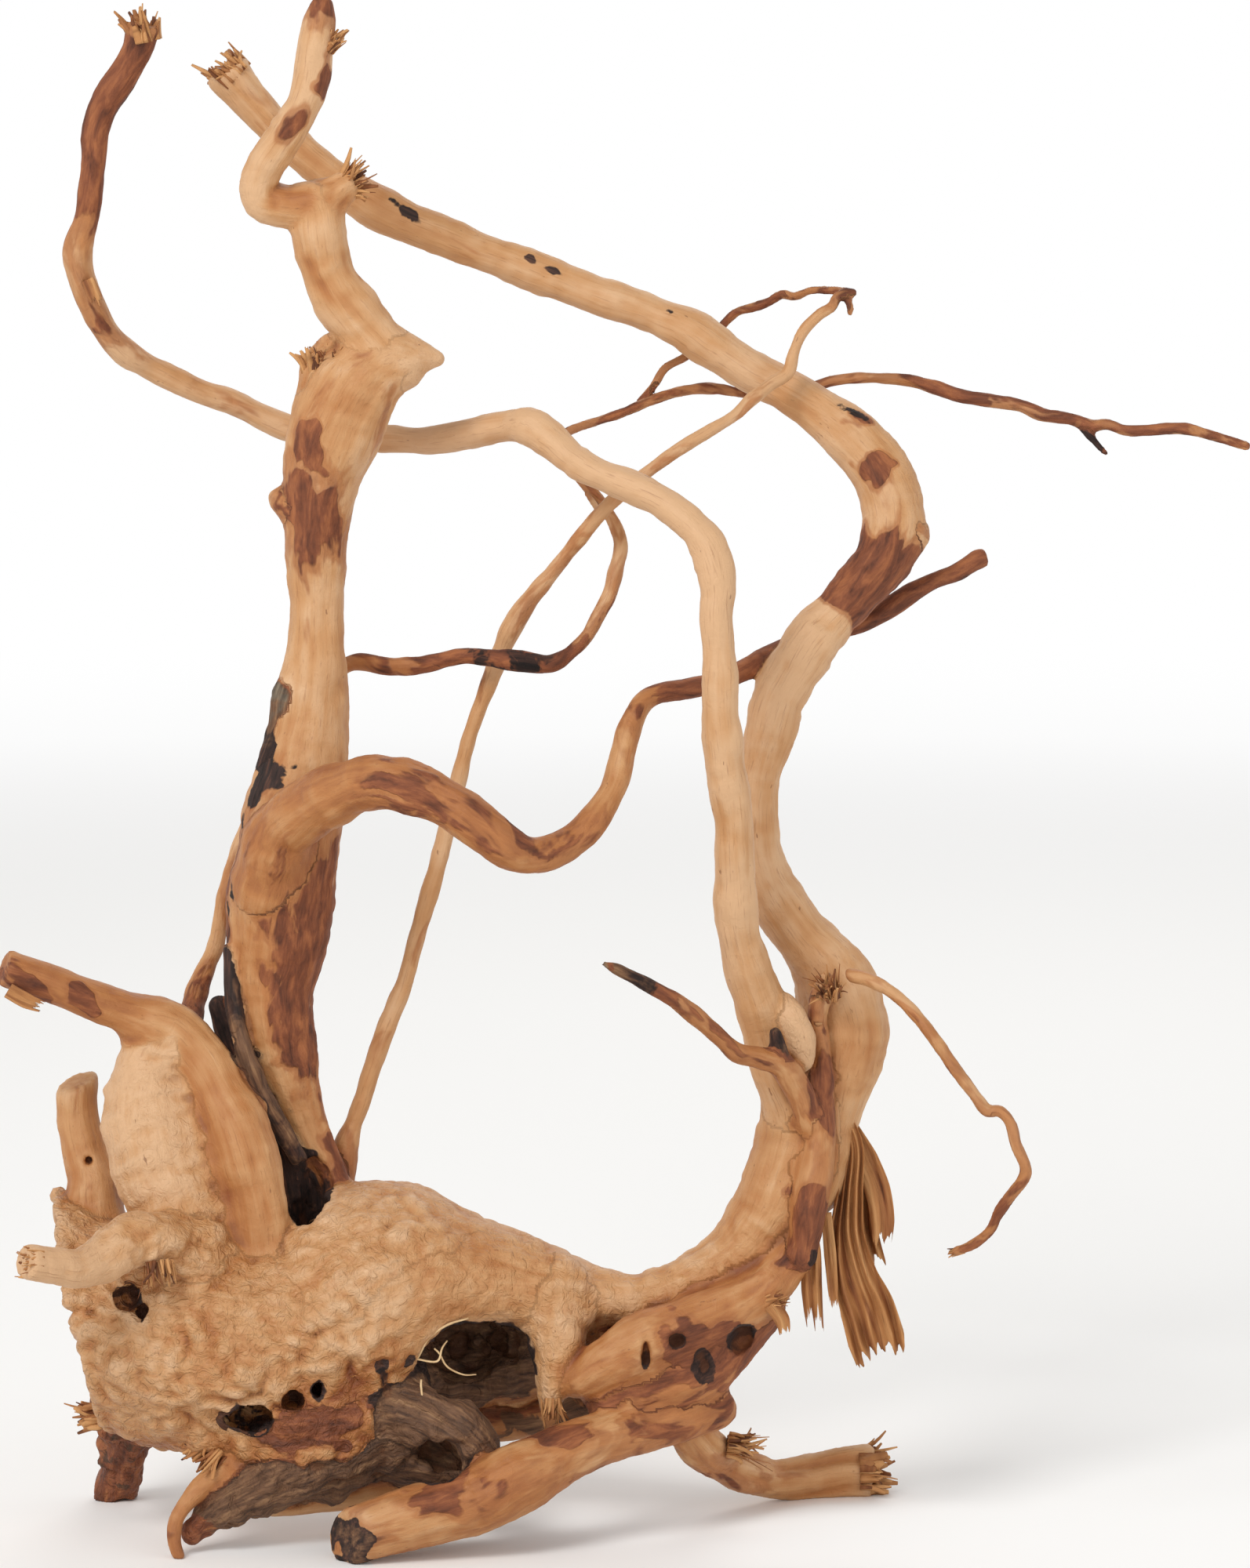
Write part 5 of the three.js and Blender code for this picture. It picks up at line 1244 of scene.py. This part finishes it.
def frayed_fibres(material):
    """Fibres of the torn ends. Each starts inside the wood at a random spot of the end's disc and runs
    along the heading, bent outwards by the flare and sideways by a random curl, both growing with the
    square of the way along. It thins towards its tip by the cube of the way."""
    draws = np.random.default_rng(FIBRE_SEED)
    along = np.linspace(0, 1, FIBRE_RINGS)[None, :, None]
    paths, radii, shade = [], [], []
    for end in FRAYED_ENDS:
        tip, _ = placed([end["tip"]])
        heading = unit(np.array(end["heading"], float)[[0, 2, 1]])
        side = unit(np.cross(heading, FIBRE_ASIDE))
        other = np.cross(heading, side)
        count = end["count"]
        turn = draws.uniform(0, 2 * math.pi, count)
        out = np.sqrt(draws.uniform(0, 1, count))
        spoke = (side * np.cos(turn)[:, None] + other * np.sin(turn)[:, None]) * out[:, None]
        length = FIBRE_SHORT * end["length"] * draws.uniform(*FIBRE_LENGTHS, count)[:, None, None]
        curl = draws.normal(0, FIBRE_CURL, (count, 1, 3))
        start = tip + spoke * end["spread"] - FIBRE_SUNK * heading
        reach = (length + FIBRE_SUNK) * along
        bend = along ** 2 * length * (FIBRE_SPREAD * end["flare"] * spoke[:, None] + curl)
        paths.append(start[:, None] + heading * reach + bend)
        thick = FIBRE_FULL * end["thick"] * draws.uniform(*FIBRE_WIDTHS, (count, 1))
        radii.append(thick * (1 - FIBRE_TAPER * along[:, :, 0] ** 3))
        shade.append(draws.uniform(0, 1, count))
    paths, radii, shade = np.concatenate(paths), np.concatenate(radii), np.concatenate(shade)
    paths[:, :, 2] = np.maximum(paths[:, :, 2], FIBRE_CLEAR)
    heading = unit(np.gradient(paths, axis=1))
    wide = unit(np.cross(heading, draws.normal(0, 1, (len(paths), 1, 3))))
    points, faces = tubes(paths, radii, wide, FIBRE_FLAT * np.cross(heading, wide))
    points[:, 2] = np.maximum(points[:, 2], 0)
    steps = np.repeat(np.arange(len(paths) * FIBRE_RINGS), FIBRE_SIDES)
    onward, apart = FIBRE_GRAIN
    grain = np.stack([onward * (steps % FIBRE_RINGS), apart * (steps // FIBRE_RINGS), 0.0 * steps],
                     axis=1)
    values = dict(grain=grain, shade=np.repeat(shade, FIBRE_RINGS * FIBRE_SIDES))
    wear(new_piece("frayed_fibres", points, faces, material, values))


def torn_strips(material):
    """Torn strips of wood. Across a strip its depth follows the cosine of the pleats plus grooves along the
    grain; its end is ragged, each line across the width stopping at its own length. Front and back sheets
    are a thickness apart and are closed along their edges."""
    points, faces, grains, shades_of = [], [], [], []
    across = np.linspace(-1, 1, STRIP_ACROSS)[None, :]
    first = 0
    for number, strip in enumerate(TORN_STRIPS):
        knots, reach = placed(strip["route"])
        curve, place = smooth_curve(knots)
        half = np.interp(place, np.arange(len(knots)), np.array(strip["route"], float)[:, 3] * reach)
        line = np.stack([STRIP_LINE * across[0], 0 * across[0], 0 * across[0]], axis=1)
        stops = np.ones(STRIP_ACROSS)
        for strength, spacing, seed in STRIP_RAGS:
            torn_off = 0.5 + 0.5 * cloud(line, spacing, seed + number)
            stops = stops - strength * strip["ragged"] * torn_off
        share = np.linspace(0, 1, STRIP_RINGS)[:, None] * stops
        spot = share * (len(curve) - 1)
        middle = np.stack([np.interp(spot, np.arange(len(curve)), curve[:, axis]) for axis in range(3)],
                          axis=2)
        width = np.interp(spot, np.arange(len(curve)), half)
        heading = unit(np.gradient(curve, axis=0))
        heading = np.stack([np.interp(spot, np.arange(len(curve)), heading[:, axis])
                            for axis in range(3)], axis=2)
        wide = unit(np.cross(heading, [0.0, 1.0, 0.0]))
        deep = unit(np.cross(heading, wide))
        length = share * np.linalg.norm(np.diff(curve, axis=0), axis=1).sum()
        flat = np.stack([length, across * width, np.full_like(length, STRIP_APART * number)],
                        axis=2).reshape(-1, 3)
        groove = layered(flat, STRIP_GROOVES).reshape(length.shape)
        opened = np.clip(STRIP_OPENS * share, STRIP_CLOSED, 1)
        sway = layered(flat, STRIP_SWAY).reshape(length.shape)
        pleat = math.pi * strip["pleats"] * across + number
        depth = opened * (strip["fold"] * np.cos(pleat + sway) + groove)
        front = middle + wide * (across * width)[..., None] + deep * depth[..., None]
        thick = STRIP_THICK * (1 - STRIP_EDGE_THIN * across ** 4)[..., None]
        sheets = np.stack([front - deep * thick / 2, front + deep * thick / 2])
        index = first + np.arange(sheets.size // 3).reshape(sheets.shape[:3])
        one, two = index
        faces.append(np.stack([one[:-1, :-1], one[:-1, 1:], one[1:, 1:], one[1:, :-1]],
                              axis=2).reshape(-1, 4))
        faces.append(np.stack([two[:-1, :-1], two[1:, :-1], two[1:, 1:], two[:-1, 1:]],
                              axis=2).reshape(-1, 4))
        rim_one = np.concatenate([one[0, :-1], one[:-1, -1], one[-1, :0:-1], one[:0:-1, 0]])
        rim_two = np.concatenate([two[0, :-1], two[:-1, -1], two[-1, :0:-1], two[:0:-1, 0]])
        faces.append(np.stack([rim_one, rim_two, np.roll(rim_two, -1), np.roll(rim_one, -1)], axis=1))
        points.append(sheets.reshape(-1, 3))
        grains.append(np.concatenate([flat, flat + STRIP_BACK_GRAIN]))
        # Painted shade: each strip is darker in its grooves and pleat hollows and lighter on its raised
        # folds
        low = STRIP_SHADE - STRIP_GROOVE_PAINTED_SHADE * groove - STRIP_PLEAT_PAINTED_SHADE * np.cos(pleat)
        low = np.clip(low, 0, 1)
        shades_of.append(np.tile(low.ravel(), 2))
        first += sheets.size // 3
    values = dict(grain=np.concatenate(grains), shade=np.concatenate(shades_of))
    wear(new_piece("torn_strips", np.concatenate(points), [np.concatenate(faces)], material, values))


def rootlets(material):
    """Rootlets in the hollow: thin tubes along smooth curves."""
    for number, route in enumerate(ROOTLETS):
        knots, _ = placed(route)
        curve, place = smooth_curve(knots)
        curve = curve[::ROOTLET_EVERY]
        radius = np.interp(place[::ROOTLET_EVERY], np.arange(len(knots)), np.array(route)[:, 3])
        heading = unit(np.gradient(curve, axis=0))
        wide = unit(np.cross(heading, [0.0, 1.0, 0.0]))
        points, faces = tubes(curve[None], radius[None], wide[None], np.cross(heading, wide)[None])
        wear(new_piece(f"rootlet_{number + 1}", points, faces, material))


def torn_fibre(fibre):
    """Torn wood: tan to brown strands with dark lines between them."""
    material, tree, shader = new_material("torn_fibre")
    streak, line, height = fibres_of(tree, fibre, carried(tree, "grain", "Vector"))
    place = add(tree, "ShaderNodeTexCoord").outputs["Object"]
    # The carried shade: a random tone on each fibre, and on the strips painted shade in grooves and pleat
    # hollows
    tone = sum_of(tree, carried(tree, "shade"), swung(tree, streak, TORN_STREAK_TONE))
    broad = mottle(tree, place, TORN_MOTTLE_SCALE)
    tone = sum_of(tree, tone, swung(tree, broad, TORN_MOTTLE_TONE))
    colour = shades(tree, tone, TORN_WOOD)
    colour = laid_over(tree, scaled(tree, line, TORN_LINE_SHARE), colour, tint(*TORN_LINE))
    tree.links.new(colour, shader.inputs["Base Color"])
    dull = sum_of(tree, TORN_DULL, scaled(tree, streak, TORN_STREAK_DULL))
    tree.links.new(dull, shader.inputs["Roughness"])
    shader.inputs["Specular IOR Level"].default_value = TORN_SPECULAR
    bump = add(tree, "ShaderNodeBump", None, Strength=TORN_BUMP, Distance=TORN_BUMP_DEPTH, Height=height)
    tree.links.new(bump.outputs[0], shader.inputs["Normal"])
    return material


def rootlet_bark():
    """Pale rootlet skin, a little mottled."""
    material, tree, shader = new_material("rootlet_skin")
    place = add(tree, "ShaderNodeTexCoord").outputs["Object"]
    patchy = mottle(tree, place, ROOTLET_MOTTLE_SCALE)
    tree.links.new(shades(tree, patchy, ROOTLET_SKIN), shader.inputs["Base Color"])
    dull = sum_of(tree, ROOTLET_DULL, scaled(tree, patchy, ROOTLET_MOTTLE_DULL))
    tree.links.new(dull, shader.inputs["Roughness"])
    return material


# The studio: a wide round floor that rises into a pale glowing wall, three soft lamps and an even sky.
FLOOR_PROFILE = [(0.0, 0.0), (3.2, 0.0), (4.2, 0.12), (5.0, 0.5), (5.5, 1.2), (5.7, 2.4), (5.75, 4.0)]
FLOOR_TURNS = 96
LAMPS = [
    ("key_lamp", (-1.2, -1.9, 2.2), 1.1, 46.0), ("fill_lamp", (1.9, -1.7, 1.2), 1.8, 8.0),
    ("back_lamp", (0.4, 1.9, 2.0), 1.4, 14.0),
]
SKY_LIGHT = 0.4
GLOW_FROM = (1.6, 3.6)


def studio():
    """Floor, lamps and sky. The floor is a profile of radius and height turned round the upright axis."""
    radius, height = np.array(FLOOR_PROFILE).T
    turn = np.linspace(0, 2 * math.pi, FLOOR_TURNS, endpoint=False)[:, None]
    rings = np.stack([radius * np.cos(turn), radius * np.sin(turn), height + 0 * turn], axis=2)
    index = np.arange(FLOOR_TURNS * len(radius)).reshape(FLOOR_TURNS, len(radius))
    onward = np.roll(index, -1, axis=0)
    faces = np.stack([index[:, :-1], index[:, 1:], onward[:, 1:], onward[:, :-1]], axis=2).reshape(-1, 4)
    material, tree, shader = new_material("pale_floor")
    place = add(tree, "ShaderNodeTexCoord").outputs["Object"]
    away = add(tree, "ShaderNodeVectorMath", {"operation": "LENGTH"}, i0=place).outputs["Value"]
    far = eased(tree, away, *GLOW_FROM)
    tree.links.new(laid_over(tree, far, tint(*PALE_FLOOR), tint(*BLACK)), shader.inputs["Base Color"])
    tree.links.new(laid_over(tree, far, tint(*BLACK), tint(*WHITE)), shader.inputs["Emission Color"])
    shader.inputs["Emission Strength"].default_value = 1.0
    shader.inputs["Roughness"].default_value = 1.0
    shader.inputs["Specular IOR Level"].default_value = 0.0
    floor = new_piece("studio_floor", rings.reshape(-1, 3) / METRES, [faces], material)
    for name, spot, size, power in LAMPS:
        light = bpy.data.lights.new(name, "AREA")
        light.size = size
        light.energy = power
        lamp = bpy.data.objects.new(name, light)
        lamp.location = spot
        toward = Vector((0, 0, AIM_HEIGHT * METRES)) - lamp.location
        lamp.rotation_euler = toward.to_track_quat("-Z", "Y").to_euler()
        bpy.context.scene.collection.objects.link(lamp)
    sky = bpy.data.worlds.new("even_sky")
    sky.use_nodes = True
    sky.node_tree.nodes["Background"].inputs["Strength"].default_value = SKY_LIGHT
    sky.node_tree.nodes["Background"].inputs["Color"].default_value = (1, 1, 1, 1)
    bpy.context.scene.world = sky
    bpy.context.scene.view_settings.view_transform = "Standard"


def front_camera():
    """The camera at the front view's eye; its lens makes the frame 600 mm high at the aim."""
    data = bpy.data.cameras.new("front_camera")
    data.sensor_width = SENSOR
    data.lens = SENSOR * EYE_DISTANCE / VIEW_HEIGHT
    camera = bpy.data.objects.new("front_camera", data)
    aim = Vector((np.array([0, 0, AIM_HEIGHT]) - MIDDLE) * METRES)
    back = np.array([0, -math.cos(EYE_TILT), math.sin(EYE_TILT)]) * EYE_DISTANCE * METRES
    camera.location = aim + Vector(back)
    camera.rotation_euler = (aim - camera.location).to_track_quat("-Z", "Y").to_euler()
    bpy.context.scene.collection.objects.link(camera)
    bpy.context.scene.camera = camera


wood_fibre = fibre_group()
skinned_stages(root_wood(wood_fibre))
torn_wood = torn_fibre(wood_fibre)
frayed_fibres(torn_wood)
torn_strips(torn_wood)
rootlets(rootlet_bark())
studio()
front_camera()
